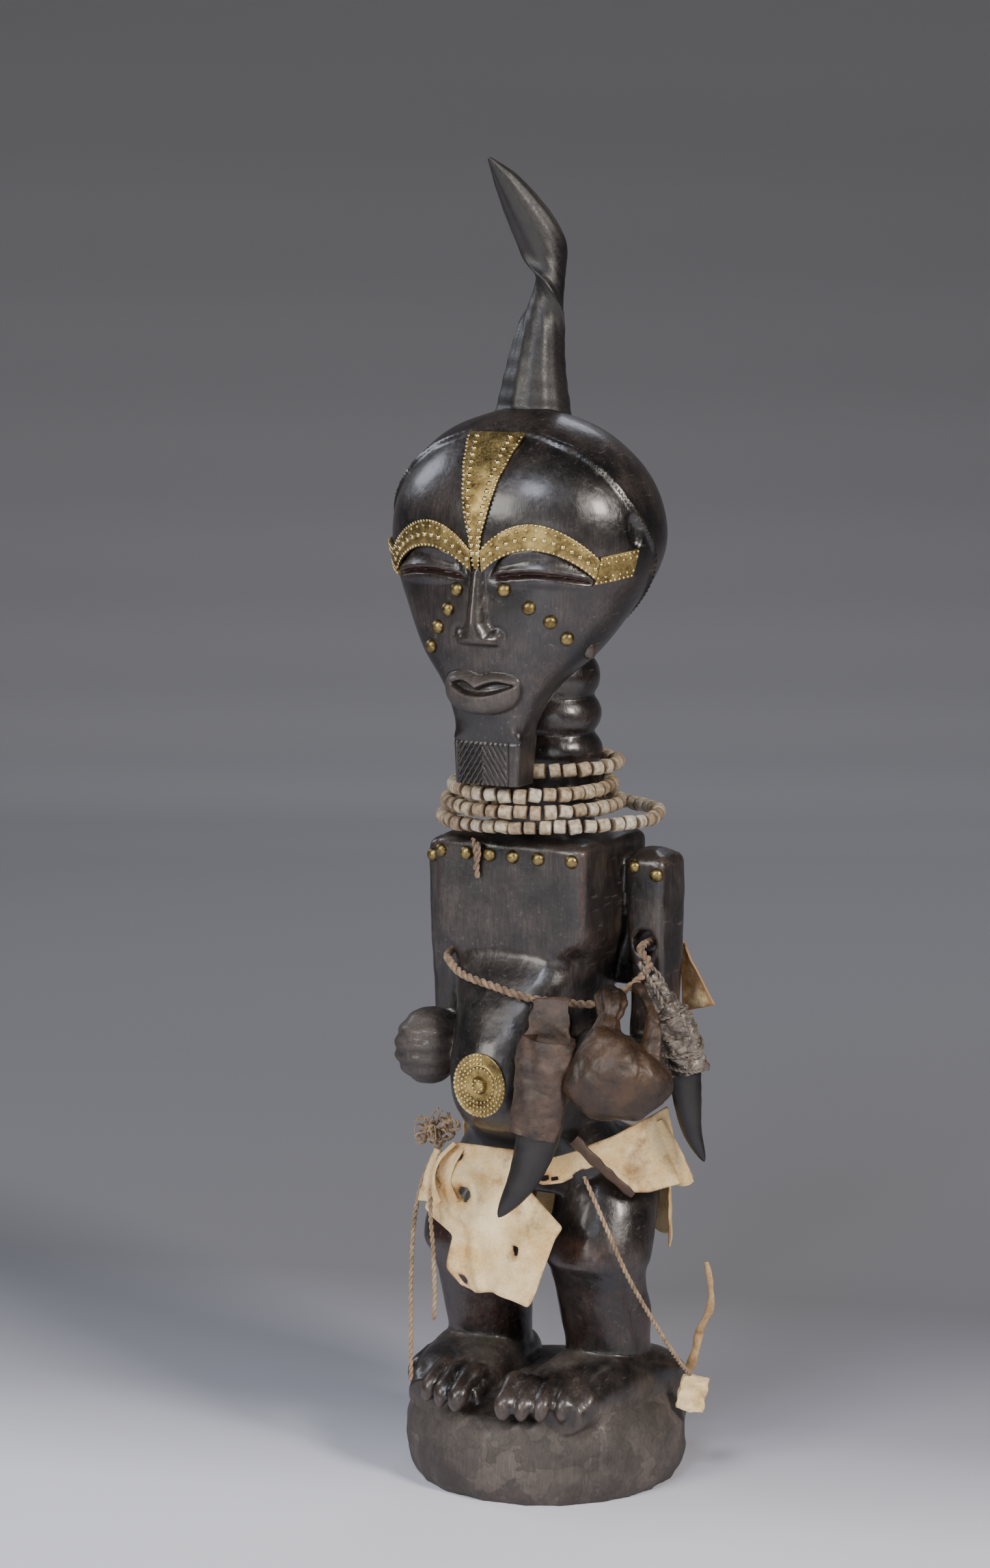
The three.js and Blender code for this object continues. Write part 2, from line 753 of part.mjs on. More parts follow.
function hide(place, columns, rows) {
  const step = 0.01;
  const points = [[], []];
  for (let j = 0; j <= rows; j++) {
    for (let i = 0; i <= columns; i++) {
      const [u, v] = [i / columns, j / rows];
      const across = place(Math.min(1, u + step), v).sub(place(Math.max(0, u - step), v));
      const down = place(u, Math.min(1, v + step)).sub(place(u, Math.max(0, v - step)));
      const normal = across.cross(down).normalize();
      points[0].push(place(u, v));
      points[1].push(place(u, v).addScaledVector(normal, HIDE_THICKNESS));
    }
  }
  const corner = (face, i, j) => face * points[0].length + j * (columns + 1) + i;
  const faces = [];
  const quad = (a, b, c, d) => faces.push([a, b, c], [a, c, d]);
  for (let j = 0; j < rows; j++) {
    for (let i = 0; i < columns; i++) {
      quad(corner(0, i, j), corner(0, i + 1, j), corner(0, i + 1, j + 1), corner(0, i, j + 1));
      quad(corner(1, i, j), corner(1, i, j + 1), corner(1, i + 1, j + 1), corner(1, i + 1, j));
    }
    quad(corner(0, 0, j), corner(0, 0, j + 1), corner(1, 0, j + 1), corner(1, 0, j));
    quad(corner(0, columns, j), corner(1, columns, j), corner(1, columns, j + 1), corner(0, columns, j + 1));
  }
  for (let i = 0; i < columns; i++) {
    quad(corner(0, i, 0), corner(1, i, 0), corner(1, i + 1, 0), corner(0, i + 1, 0));
    quad(corner(0, i, rows), corner(0, i + 1, rows), corner(1, i + 1, rows), corner(1, i, rows));
  }
  return closed(points.flat(), faces);
}

const flapLeft = [-34, -42, -49, -27, -16];
const flapRight = [7, 16, 42, 37, 29];

function frontFlap(u, v) {
  const x = lerp(pick(flapLeft, v), pick(flapRight, v), u);
  const z = lerp(211, 122 - 8 * u, v) + 3 * Math.sin(u * 5) * v;
  const y = -60 - 14 * Math.sin((Math.PI / 2) * v) - 4 * Math.sin(Math.PI * u) * v;
  return new THREE.Vector3(x, y - 2 * Math.sin(u * 9 + v * 2) * v, z);
}

function sidePanel(u, v) {
  const across = lerp(lerp(4, 0, v), lerp(70, 90, v), u);
  const out = lerp(lerp(61, 66, v), lerp(38, 36, v), u) + 5 * Math.sin(u * 3);
  const top = lerp(211, 235, u ** 1.5);
  const bottom = lerp(193, 189, u) - 8 * Math.sin(u * 3 * Math.PI);
  return beside(across, out, lerp(top, bottom, v));
}

function backPanel(u, v) {
  const angle = lerp(Math.PI * 0.62, Math.PI * 1.38, u);
  const wave = 2.5 * Math.sin(u * 22) * v;
  const z = lerp(207, 140 + 8 * Math.sin(u * 7), v);
  return new THREE.Vector3(
    (77 + wave) * Math.sin(angle),
    2 - (57 + 3 * v + wave) * Math.cos(angle),
    z,
  );
}

function elbowFlap(u, v) {
  const x = lerp(71, lerp(76, 96, v), u);
  const z = lerp(332 - 6 * u, 284 + 8 * u, v);
  return new THREE.Vector3(x, 34 + 5 * v + 2 * Math.sin(u * 3), z);
}

// Loose cords, each an extruded round section along its route

const ankleCordRoute = [
  [62, -70, 205],
  [72, -66, 180],
  [82, -54, 145],
  [90, -32, 110],
  [92, -6, 82],
  [92, 12, 67],
];
const longLooseRoute = [
  [-46, -42, 211],
  [-52, -54, 196],
  [-55, -65, 170],
  [-56, -69, 135],
  [-56, -70, 98],
  [-56, -70, 64],
];
const shortLooseRoute = [
  [-37, -68, 206],
  [-38, -77, 180],
  [-34, -81, 150],
  [-32, -83, 128],
  [-33, -82, 108],
];
const stiffStripRoute = [
  [79.5, 37, 62],
  [84, 35, 72],
  [88, 34, 88],
  [95, 34, 104],
  [95, 34, 118],
  [92, 34, 132],
];

function cord(points, radius) {
  const route = new THREE.CatmullRomCurve3(points.map((p) => new THREE.Vector3(...p)));
  const steps = Math.round(route.getLength() / (radius * 6));
  const round = new THREE.Shape().absarc(0, 0, radius, 0, 2 * Math.PI);
  return new THREE.ExtrudeGeometry(round, { steps, extrudePath: route, curveSegments: 4 });
}

const thongLine = [
  [63, -74, 210],
  [72, -72, 203],
  [84, -66, 196],
  [92, -61, 189],
];
const tieLine = [
  [-19, -57, 398],
  [-19, -54, 386],
  [-18.5, -53.5, 374],
];

function flatBand(points, wide, thick) {
  return bar(points.map((p) => new THREE.Vector3(...p)), 4, points.length, () => [wide, thick]);
}

// The folded scrap of hide that the ankle cord ends in
function hideTag() {
  return new THREE.BoxGeometry(14, 4, 20).rotateZ(SIDE_TURN).translate(93, 15, 54.5);
}

// The finished object

const colours = {
  wood: ["#2b2320", 0.38, 0],
  horn: ["#1d1b1c", 0.35, 0],
  brass: ["#a8894a", 0.35, 0.9],
  bead: ["#b9a98a", 0.7, 0],
  rope: ["#6d5641", 0.9, 0],
  skin: ["#54392a", 0.6, 0],
  hide: ["#d8c193", 0.8, 0],
};
const materials = Object.fromEntries(
  Object.entries(colours).map(([name, [color, roughness, metalness]]) => [
    name,
    new THREE.MeshStandardMaterial({ name, color, roughness, metalness }),
  ]),
);

const SIDES = [
  ["left", 1],
  ["right", -1],
];

const part = new THREE.Group();
function piece(name, shape, material) {
  const geometry = shape.isBufferGeometry ? shape : toGeometry(shape);
  const mesh = new THREE.Mesh(geometry, materials[material]);
  mesh.name = name;
  part.add(mesh);
}

piece("carved_figure", figure(), "wood");
piece("crown_horn", crownHorn(), "horn");

piece("belly_disc", bellyDisc(), "brass");
piece("forehead_strip", brassStrip(foreheadStrip), "brass");
for (const [label, side] of SIDES) {
  piece(`brow_strip_${label}`, brassStrip(browStrip(side)), "brass");
  piece(`temple_strip_${label}`, brassStrip(templeStrip(side)), "brass");
  cheekNails[label].forEach(([degrees, z], i) => {
    piece(`cheek_nail_${label}_${i + 1}`, nail(headSpot(side * degrees, z)), "brass");
  });
}
chestNails.forEach((x, i) => {
  piece(`chest_nail_${i + 1}`, nail(frontSpot(trunk, x, CHEST_NAIL_HEIGHT)), "brass");
});
for (const [label, side] of SIDES) {
  const keys = side > 0 ? upperArm : mirrored(upperArm);
  armNails.forEach(([x, z], i) => {
    piece(`arm_nail_${label}_${i + 1}`, nail(frontSpot(keys, side * x, z)), "brass");
  });
}
strands.forEach((strand) => piece(strand.name, beadStrand(strand), "bead"));
piece("charm_rope", charmRope(), "rope");
piece("waist_rope", waistRope(), "rope");
piece("front_horn", hornBar(frontHorn), "horn");
piece("front_horn_sheath", frontSheath(), "skin");
piece("side_horn", hornBar(sideHorn), "horn");
piece("side_horn_wrap", sideWrap(), "skin");
piece("skin_pouch", pouch(), "skin");
piece("front_hide_flap", hide(frontFlap, 6, 5), "hide");
piece("side_hide_panel", hide(sidePanel, 8, 3), "hide");
piece("back_hide_panel", hide(backPanel, 8, 2), "hide");
piece("elbow_hide_flap", hide(elbowFlap, 2, 2), "hide");
piece("hide_thong", flatBand(thongLine, 2.2, 1.4), "skin");
piece("ankle_cord", cord(ankleCordRoute, THIN_CORD_RADIUS), "rope");
piece("hide_tag", hideTag(), "hide");
piece("long_loose_cord", cord(longLooseRoute, THIN_CORD_RADIUS), "rope");
piece("short_loose_cord", cord(shortLooseRoute, THIN_CORD_RADIUS), "rope");
piece("stiff_hide_strip", flatBand(stiffStripRoute, 2.4, 1.2), "hide");
piece("necklace_tie", flatBand(tieLine, 1.6, 1.6), "rope");

export default part;
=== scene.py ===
"""A carved wooden power figure with its brass, beads, ropes, horns and hides.

Each operator makes one piece, or one group of like pieces, in the place that the CAD frame gives it.
Shapes are worked out in millimetres and become metres when their mesh is made. The figure faces -Y.
"""

import math
from functools import partial

import bmesh
import bpy
import numpy as np
from bpy.props import FloatProperty, FloatVectorProperty, IntProperty, PointerProperty
from mathutils import Matrix, Vector, noise


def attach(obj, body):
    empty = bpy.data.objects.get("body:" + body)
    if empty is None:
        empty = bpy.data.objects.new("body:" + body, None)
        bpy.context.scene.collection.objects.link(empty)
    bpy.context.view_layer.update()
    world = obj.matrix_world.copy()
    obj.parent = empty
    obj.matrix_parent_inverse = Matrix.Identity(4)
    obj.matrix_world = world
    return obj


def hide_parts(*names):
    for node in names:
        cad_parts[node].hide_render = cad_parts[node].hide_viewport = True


bl_info = {
    "name": "Carved Wooden Figure",
    "version": (1, 0, 0),
    "blender": (4, 5, 0),
    "location": "View3D > Sidebar > Figure",
    "description": "Builds the dressed figure round its CAD frame",
    "category": "Object",
}

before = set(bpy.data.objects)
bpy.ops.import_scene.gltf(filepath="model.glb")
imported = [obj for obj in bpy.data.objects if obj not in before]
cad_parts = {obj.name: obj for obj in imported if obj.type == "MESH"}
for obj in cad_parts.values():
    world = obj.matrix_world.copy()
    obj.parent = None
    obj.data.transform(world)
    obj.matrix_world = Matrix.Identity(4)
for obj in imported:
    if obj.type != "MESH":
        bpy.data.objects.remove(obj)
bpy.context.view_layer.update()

MM = 0.001
SIDE_TURN = math.radians(28)  # how far round to the left the charms hang
BACKWARDS = Vector((-0.4815, 0.8764, 0))  # level, away from the camera


def linear(code):
    """The linear colour of an sRGB hex value."""
    parts = [int(code[i : i + 2], 16) / 255 for i in (1, 3, 5)]
    return tuple(p / 12.92 if p <= 0.04045 else ((p + 0.055) / 1.055) ** 2.4 for p in parts) + (1.0,)


# Sizes and colours that a user may change


def length(name, about, millimetres):
    return FloatProperty(
        name=name, description=about, default=millimetres * MM, unit="LENGTH", subtype="DISTANCE"
    )


def paint(name, about, code):
    return FloatVectorProperty(
        name=name, description=about, default=linear(code), size=4, subtype="COLOR", min=0, max=1
    )


class FigureSizes(bpy.types.PropertyGroup):
    carve_grain: length("Carving grain", "Voxel size that the body is carved at", 1.5)
    body_triangles: IntProperty(name="Body triangles", description="Kept on the body", default=84000)
    head_columns: IntProperty(name="Head columns", description="Faces round the head", default=264)
    head_rows: IntProperty(name="Head rows", description="Faces up the head", default=200)
    nail_radius: length("Nail radius", "Radius of a domed nail", 4.2)
    bead_length: length("Bead length", "Length of a barrel bead", 8.3)
    bead_radius: length("Bead radius", "Radius of a barrel bead", 4.1)
    rope_radius: length("Rope radius", "Radius of the two-ply ropes", 2.6)
    cord_radius: length("Cord radius", "Radius of the loose cords", 1.5)
    hide_thickness: length("Hide thickness", "Thickness of the dried hide", 1.5)


class FigureColours(bpy.types.PropertyGroup):
    wood: paint("Wood", "Oiled dark wood", "#161312")
    worn_wood: paint("Worn wood", "Wood where hands have worn it", "#5a3226")
    # its grey also paints a faint sheen on the upper chest front
    dust_and_sheen_wood: paint("Dry wood", "Dusty wood of base and feet", "#5d544e")
    horn: paint("Horn", "Dark animal horn", "#0e0d0d")
    brass: paint("Brass", "Old brass sheet", "#bfa76d")
    bead: paint("Bead", "Shell and clay beads", "#dccdab")
    rope: paint("Rope", "Plant fibre rope where it is rubbed", "#a08569")
    leather: paint("Leather", "Oiled skin of the pouch where it swells", "#4c3521")
    hide: paint("Hide", "Dried raw hide", "#f4dfae")


def sizes():
    return bpy.context.scene.figure_sizes


def colours():
    return bpy.context.scene.figure_colours


# Objects and meshes


def choose(*objects):
    """Only these objects selected, the first of them active. With none given, nothing is selected."""
    if bpy.context.object and bpy.context.object.mode != "OBJECT":
        bpy.ops.object.mode_set(mode="OBJECT")
    bpy.ops.object.select_all(action="DESELECT")
    for obj in objects:
        obj.select_set(True)
    if objects:
        bpy.context.view_layer.objects.active = objects[0]


def name_it(obj, name):
    obj.name = name
    obj.data.name = name
    return obj


def make(name, points, faces, edges=()):
    """A mesh object from points in millimetres."""
    mesh = bpy.data.meshes.new(name)
    mesh.from_pydata((np.asarray(points, float) * MM).tolist(), list(edges), faces)
    mesh.update()
    obj = bpy.data.objects.new(name, mesh)
    bpy.context.scene.collection.objects.link(obj)
    return obj


def read_vertices(obj, what):
    flat = np.empty(len(obj.data.vertices) * 3)
    obj.data.vertices.foreach_get(what, flat)
    return flat.reshape(-1, 3)


def points_of(obj):
    """A mesh's points in millimetres."""
    return read_vertices(obj, "co") / MM


def normals_of(obj):
    return read_vertices(obj, "normal")


def move_points(obj, points):
    obj.data.vertices.foreach_set("co", (np.asarray(points) * MM).ravel())
    obj.data.update()


def finish_with(obj, kind, **settings):
    """Adds a modifier with its settings and applies it."""
    choose(obj)
    modifier = obj.modifiers.new(kind.title(), kind)
    for key, value in settings.items():
        setattr(modifier, key, value)
    bpy.ops.object.modifier_apply(modifier=modifier.name)
    return obj


def joined(name, objects):
    choose(*objects)
    if len(objects) > 1:
        bpy.ops.object.join()
    return name_it(bpy.context.object, name)


def placed(obj):
    """Puts an object's place, turn and scale into its mesh."""
    choose(obj)
    bpy.ops.object.transform_apply(location=True, rotation=True, scale=True)
    return obj


def edited(obj, *steps):
    """Runs mesh operators, each a name and its settings, on all of an object in edit mode."""
    choose(obj)
    bpy.ops.object.mode_set(mode="EDIT")
    bpy.ops.mesh.select_all(action="SELECT")
    for name, settings in steps:
        getattr(bpy.ops.mesh, name)(**settings)
    bpy.ops.object.mode_set(mode="OBJECT")
    return obj


def outward(obj):
    """Closes the seams of a mesh and turns its faces outward."""
    seams = ("remove_doubles", {"threshold": 0.00001})
    return edited(obj, seams, ("normals_make_consistent", {"inside": False}))


def primitive(kind, scale=(1, 1, 1), centre=(0, 0, 0), turn=(0, 0, 0), **settings):
    """A primitive with its scale, its centre in millimetres and its turn put into its mesh."""
    choose()
    getattr(bpy.ops.mesh, f"primitive_{kind}_add")(**settings)
    obj = bpy.context.object
    obj.scale = scale
    obj.rotation_euler = turn
    obj.location = Vector(centre) * MM
    return placed(obj)


def settle(obj, material, slot, *nodes, smooth=35):
    """Gives a finished piece its material and hides the CAD nodes that it stands for."""
    choose(obj)
    obj.data.materials.clear()
    obj.data.materials.append(material)
    if smooth:
        bpy.ops.object.shade_smooth_by_angle(angle=math.radians(smooth))
    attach(obj, "root")
    if nodes:
        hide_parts(*nodes)
    return obj


def give_tone(obj, name, values):
    """Stores one value a point, for a material to read."""
    layer = obj.data.attributes.new(name, "FLOAT", "POINT")
    layer.data.foreach_set("value", np.asarray(values, np.float32))


# Lines, rings and skins


def cubic(t, start, lead, end, trail):
    """The smooth way from start to end that leaves along lead and arrives along trail."""
    return (
        (2 * t**3 - 3 * t**2 + 1) * start
        + (t**3 - 2 * t**2 + t) * lead
        + (3 * t**2 - 2 * t**3) * end
        + (t**3 - t**2) * trail
    )


def walked(points, weight=1.0):
    """How far along a row of points each of them lies."""
    return np.concatenate([[0], np.cumsum(np.linalg.norm(np.diff(points, axis=0), axis=1) * weight)])


def between(at, run, points):
    """The places that lie at the given distances along a row of points."""
    return np.stack([np.interp(at, run, points[:, k]) for k in range(3)], 1)


def full_turn(count):
    """Angles spaced evenly round a circle."""
    return np.arange(count) / count * 2 * math.pi


def smooth_line(points, count, loop=False):
    """Evenly spaced points along a smooth line through the given ones."""
    known = np.asarray(points, float)
    total = len(known)
    fine = []
    for i in range(total if loop else total - 1):
        a, b = known[i], known[(i + 1) % total]
        before = known[i - 1] if loop or i else 2 * a - b
        after = known[(i + 2) % total] if loop or i + 2 < total else 2 * b - a
        d0, d1, d2 = (max(np.linalg.norm(q - p) ** 0.5, 1e-4) for p, q in ((before, a), (a, b), (b, after)))
        lead = ((a - before) / d0 - (b - before) / (d0 + d1) + (b - a) / d1) * d1
        trail = ((b - a) / d1 - (after - a) / (d1 + d2) + (after - b) / d2) * d1
        fine.append(cubic(np.linspace(0, 1, 48, endpoint=False)[:, None], a, lead, b, trail))
    fine = np.vstack([*fine, known[:1] if loop else known[-1:]])
    run = walked(fine)
    return between(np.linspace(0, run[-1], count, endpoint=not loop), run, fine)


def line_length(line):
    return float(np.linalg.norm(np.diff(line, axis=0), axis=1).sum())


def unit(vectors):
    return vectors / np.maximum(np.linalg.norm(vectors, axis=-1, keepdims=True), 1e-12)


def frames_along(line, loop=False, start=(1, 0, 0)):
    """Two directions across the line at each of its points, turning as little as they can."""
    if loop:
        along = unit(np.roll(line, -1, axis=0) - np.roll(line, 1, axis=0))
    else:
        along = unit(np.gradient(line, axis=0))
    side = np.asarray(start, float)
    sides = []
    for tangent in along:
        side = side - tangent * side.dot(tangent)
        side = side / np.linalg.norm(side)
        sides.append(side)
    sides = np.array(sides)
    if loop:
        end = sides[-1] - along[0] * sides[-1].dot(along[0])
        slip = math.atan2(np.cross(end, sides[0]).dot(along[0]), end.dot(sides[0]))
        turn = np.linspace(0, slip, len(line))[:, None]
        sides = sides * np.cos(turn) + np.cross(along, sides) * np.sin(turn)
    return sides, np.cross(along, sides)


def skin(name, rings, loop=False):
    """The closed surface through a row of rings of points."""
    rings = np.asarray(rings)
    count, around = rings.shape[:2]
    faces = []
    for i in range(count if loop else count - 1):
        here, there = i * around, ((i + 1) % count) * around
        for k in range(around):
            n = (k + 1) % around
            faces.append((here + k, here + n, there + n, there + k))
    if not loop:
        faces.append(tuple(reversed(range(around))))
        faces.append(tuple(range((count - 1) * around, count * around)))
    return outward(make(name, rings.reshape(-1, 3), faces))


def sweep(name, line, shape, around=24, loop=False, start=(1, 0, 0)):
    """A bar along a line. shape gives the two offsets across it at a share of the way and an angle."""
    sides, ups = frames_along(line, loop, start)
    angles = full_turn(around)
    rings = []
    for i, centre in enumerate(line):
        u, v = shape(i / (len(line) - (0 if loop else 1)), angles)
        rings.append(centre + sides[i] * u[:, None] + ups[i] * v[:, None])
    return skin(name, rings, loop)


def round_bar(name, line, radius, around, loop=False):
    return sweep(name, line, lambda t, a: (radius * np.cos(a), radius * np.sin(a)), around, loop)


def beside(across, out, z):
    """A place in the frame that is turned round to the left."""
    c, s = math.cos(SIDE_TURN), math.sin(SIDE_TURN)
    return (across * c + out * s, across * s - out * c, z)


def side_line(places, count):
    """A smooth line through places in the frame that is turned round to the left."""
    return smooth_line([beside(*place) for place in places], count)


def plied(name, line, radius, pitch, loop=False, fray=0.0):
    """Two strands laid round each other along a line of closely spaced points."""
    turns = line_length(line) / len(line) * np.arange(len(line)) / pitch
    if loop:
        whole = turns[-1] * len(line) / (len(line) - 1)
        turns *= round(whole) / whole
    sides, ups = frames_along(line, loop)
    strands = []
    for phase in (0, math.pi):
        angle = (turns * 2 * math.pi + phase)[:, None]
        drift = 1 + fray * np.sin(turns * 2.3 + phase)[:, None]
        path = line + (sides * np.cos(angle) + ups * np.sin(angle)) * radius * 0.46 * drift
        strands.append(round_bar(name, path, radius * 0.54, 8, loop))
    return joined(name, strands)


# Lofts: a form is a few key sections up its height. A key is z, x, y, half width, depth in front,
# depth behind, and power, which is 2 for an oval and more for a squarer section.

TRUNK = [
    (180, 0, 4, 60, 34, 40, 2.4),
    (200, 0, 2, 56, 38, 42, 2.4),
    (213, 0, -6, 44, 40, 42, 2.4),
    (220, 0, -8, 38, 52, 40, 2.3),
    (228, 0, -8, 38, 66, 39, 2.2),
    (242, 0, -8, 41, 77, 38, 2.2),
    (256, 0, -8, 42, 79, 38, 2.2),
    (275, 0, -8, 42, 74, 38, 2.2),
    (295, 0, -8, 42, 64, 38, 2.4),
    (312, 0, -8, 44, 54, 39, 3),
    (328, 0, -8, 47, 44, 41, 4),
    (338, 0, -8, 50.5, 43.5, 43, 9),
    (346, 0, -8, 51.2, 43.6, 43, 12),
    (388, 0, -8, 51.6, 43.4, 43, 14),
    (394, 0, -8, 51.2, 43, 42.4, 12),
    (397.5, 0, -8, 47, 39, 39, 8),
    (401, 0, -10, 26, 25, 25, 2.5),
]
LEG = [
    (64, 41, 5, 26, 27, 26, 2),
    (84, 41, 3, 26, 27, 25, 2),
    (104, 41, -1, 28, 28, 27, 2),
    (122, 41, -6, 28.5, 29, 22, 2),
    (134, 41.5, -11, 30, 30, 22, 2),
    (142, 42, -12, 33, 33, 26, 2),
    (160, 42, -7, 32, 33, 34, 2),
    (180, 40, 2, 30, 33, 38, 2),
    (198, 35, 6, 25, 28, 34, 2),
]
UPPER_ARM = [
    (250, 66, 16, 7, 8, 9, 2),
    (258, 66, 14, 12, 14, 17, 2.2),
    (275, 67, 11, 13, 16, 18, 2.6),
    (300, 68, 10, 12.5, 15, 17, 3),
    (345, 68, 10, 12.8, 15.6, 17, 6),
    (378, 67.5, 10, 13, 15.8, 17.2, 7),
    (385, 67.2, 10, 12, 14.5, 16, 5),
    (389.5, 65, 10, 6, 8, 9, 2.5),
]
HEAD = [
    (434, 0, -66.5, 21, 11, 11, 9),
    (460, 0, -66, 22.5, 12, 13, 8),
    (466, 0, -65, 23, 14, 14, 4),
    (478, 0, -62, 27, 18.5, 20, 3),
    (492, 0, -57, 35, 26, 28, 2.6),
    (511, 0, -47, 53, 38, 45, 2.3),
    (536, 0, -36, 69, 51, 60, 2.1),
    (558, 0, -30, 80, 57, 70, 2.05),
    (576, 0, -28, 84, 61, 75, 2),
    (596, 0, -28, 81, 60, 73, 2),
    (614, 0, -28, 72, 54, 66, 2),
    (630, 0, -28, 57, 43, 52, 2),
    (641, 0, -28, 40, 30, 36, 2),
    (650, 0, -26, 14, 11, 13, 2),
]
# height, half width, and how far the ridge stands out
NOSE = [(517, 15.5, 11), (521, 14, 14.5), (530, 7.4, 14), (550, 5.2, 10.5), (562, 4.6, 8)]
# bottom, top, half width and depth behind
HAIR_ROLLS = [
    (389, 436, 29, 29), (436, 457, 33.5, 31), (457, 479, 33, 30), (479, 503, 32, 29), (503, 524, 33, 30)
]
EYE_MIDDLE = 37
EYE_SLIT = 560
ARM_HOLE = (68, 334, 7.5)  # x, z and radius
DISC_HEIGHT = 256
DISC_FACE = -83.5  # the flat that the disc lies on
BASE_RADIUS = 88
SKULL_MIDDLE = -28  # y of the axis that the hair line is measured round


def section_at(keys, z):
    """The section at a height, on a smooth curve through the keys."""
    table = np.asarray(keys, float)
    last = len(table) - 1
    i = int(np.clip(np.searchsorted(table[:, 0], z, side="right") - 1, 0, last - 1))
    p0, p1, p2, p3 = (table[min(max(k, 0), last)] for k in (i - 1, i, i + 1, i + 2))
    span = p2[0] - p1[0]
    t = min(max((z - p1[0]) / span, 0), 1)
    lead = p2 - p1 if i == 0 else (p2 - p0) / (p2[0] - p0[0]) * span
    trail = p2 - p1 if p3[0] == p2[0] else (p3 - p1) / (p3[0] - p1[0]) * span
    found = cubic(t, p1, lead, p2, trail)
    found[0] = z
    return found


def on_section(section, angle):
    """Points of a section at angles from straight ahead, towards the figure's left."""
    z, x, y, half, front, back, power = section
    angle = np.asarray(angle, float)
    across, along = np.sin(angle), -np.cos(angle)
    depth = np.where(along < 0, front, back)
    return np.stack(
        [
            x + half * np.sign(across) * np.abs(across) ** (2 / power),
            y + depth * np.sign(along) * np.abs(along) ** (2 / power),
            np.full_like(angle, z),
        ],
        -1,
    )


def even_ring(section, around, front_share=0.5):
    """Points spaced evenly round a section, with the given share of them on its front half."""
    fine = on_section(section, np.linspace(-math.pi, math.pi, 1441))
    run = walked(fine, np.where(fine[1:, 1] < section[2], front_share, 1 - front_share))
    return between((np.arange(around) + 0.5) / around * run[-1], run, fine)


def loft(name, keys, around=72, step=2.0):
    low, high = keys[0][0], keys[-1][0]
    heights = np.linspace(low, high, max(4, int((high - low) / step) + 1))
    return skin(name, [even_ring(section_at(keys, z), around) for z in heights])


def sided(keys, side):
    """Keys of the figure's left side as they are, or turned over to its right."""
    return [(z, side * x, *rest) for z, x, *rest in keys]


def ball(radii, centre):
    return primitive("uv_sphere", radii, centre, segments=40, ring_count=24, radius=MM)


# The carved figure


def base():
    """The round base, with flats left by the adze."""
    profile = [(82, 0), (86, 7), (BASE_RADIUS, 24), (86, 38), (78, 50), (58, 58), (0, 61)]
    cuts = adze_cuts()
    angles = full_turn(180)
    rings = []
    for r, _, z in smooth_line([(r, 0, z) for r, z in profile], 40)[:-1]:
        reach = r - cuts(angles, z) * min(1, r / BASE_RADIUS)
        rings.append(np.stack([reach * np.sin(angles), -reach * np.cos(angles), np.full(180, z)], 1))
    return skin("base", rings)


def body_parts():
    """The closed forms that the body is the sum of."""
    parts = [base(), loft("trunk", TRUNK, 96)]
    for side in (1, -1):
        leg = loft("leg", sided(LEG, side))
        arm = [loft("arm", sided(UPPER_ARM, side), 64), shoulder_web(side)]
        if side > 0:
            arm = [bored(form) for form in arm]
        parts += [leg, *arm, foot(side), *toes(side), hand(side), forearm(side)]
        parts.append(ball((25, 24, 24), (side * 27, 26, 192)))
        parts.append(ball((4.5, 6, 7.5), (side * 53.5, -49, 515)))
    parts.append(hair_rolls())
    return parts


def adze_cuts():
    """How deep the flat tool cuts round the base go, at an angle and a height."""
    chance = np.random.default_rng(4)
    row_height = 16.5
    rows = []
    for _ in range(4):
        edges = np.cumsum(chance.uniform(0.16, 0.34, 22))
        edges = edges / edges[-1] * 2 * math.pi
        rows.append((edges, chance.uniform(0, 1.3, 22)))

    def depth(angles, z):
        level = z / row_height
        edges, extra = rows[min(3, int(level))]
        middles = (edges + np.roll(edges, 1)) / 2
        middles[0] = edges[0] / 2
        gap = np.abs(np.angle(np.exp(1j * (angles[:, None] - middles[None, :]))))
        flat = BASE_RADIUS * (1 - np.cos(gap.min(1)))
        dip = 0.9 * math.cos((level - int(level) - 0.5) * 2.4)
        return extra[gap.argmin(1)] + dip + 1.2 - np.minimum(flat * 1.4, 1.2)

    return depth


def bored(form):
    """The upper arm, or its web, with the hole that the charm rope runs through."""
    x, z, radius = ARM_HOLE
    along_y = (math.pi / 2, 0, 0)
    drill = primitive(
        "cylinder", centre=(x, 15, z), turn=along_y, vertices=40, radius=radius * MM, depth=90 * MM
    )
    finish_with(form, "BOOLEAN", operation="DIFFERENCE", object=drill, solver="EXACT")
    bpy.data.objects.remove(drill)
    return form


def shoulder_web(side):
    """The web behind the slot between arm and body, deeper on the left."""
    low, high = (305, 385) if side > 0 else (351, 385)
    size = (26 * MM, 22 * MM, (high - low) * MM)
    web = primitive("cube", size, (side * 54, 16, (low + high) / 2), size=1)
    return finish_with(web, "BEVEL", width=4 * MM, segments=4)


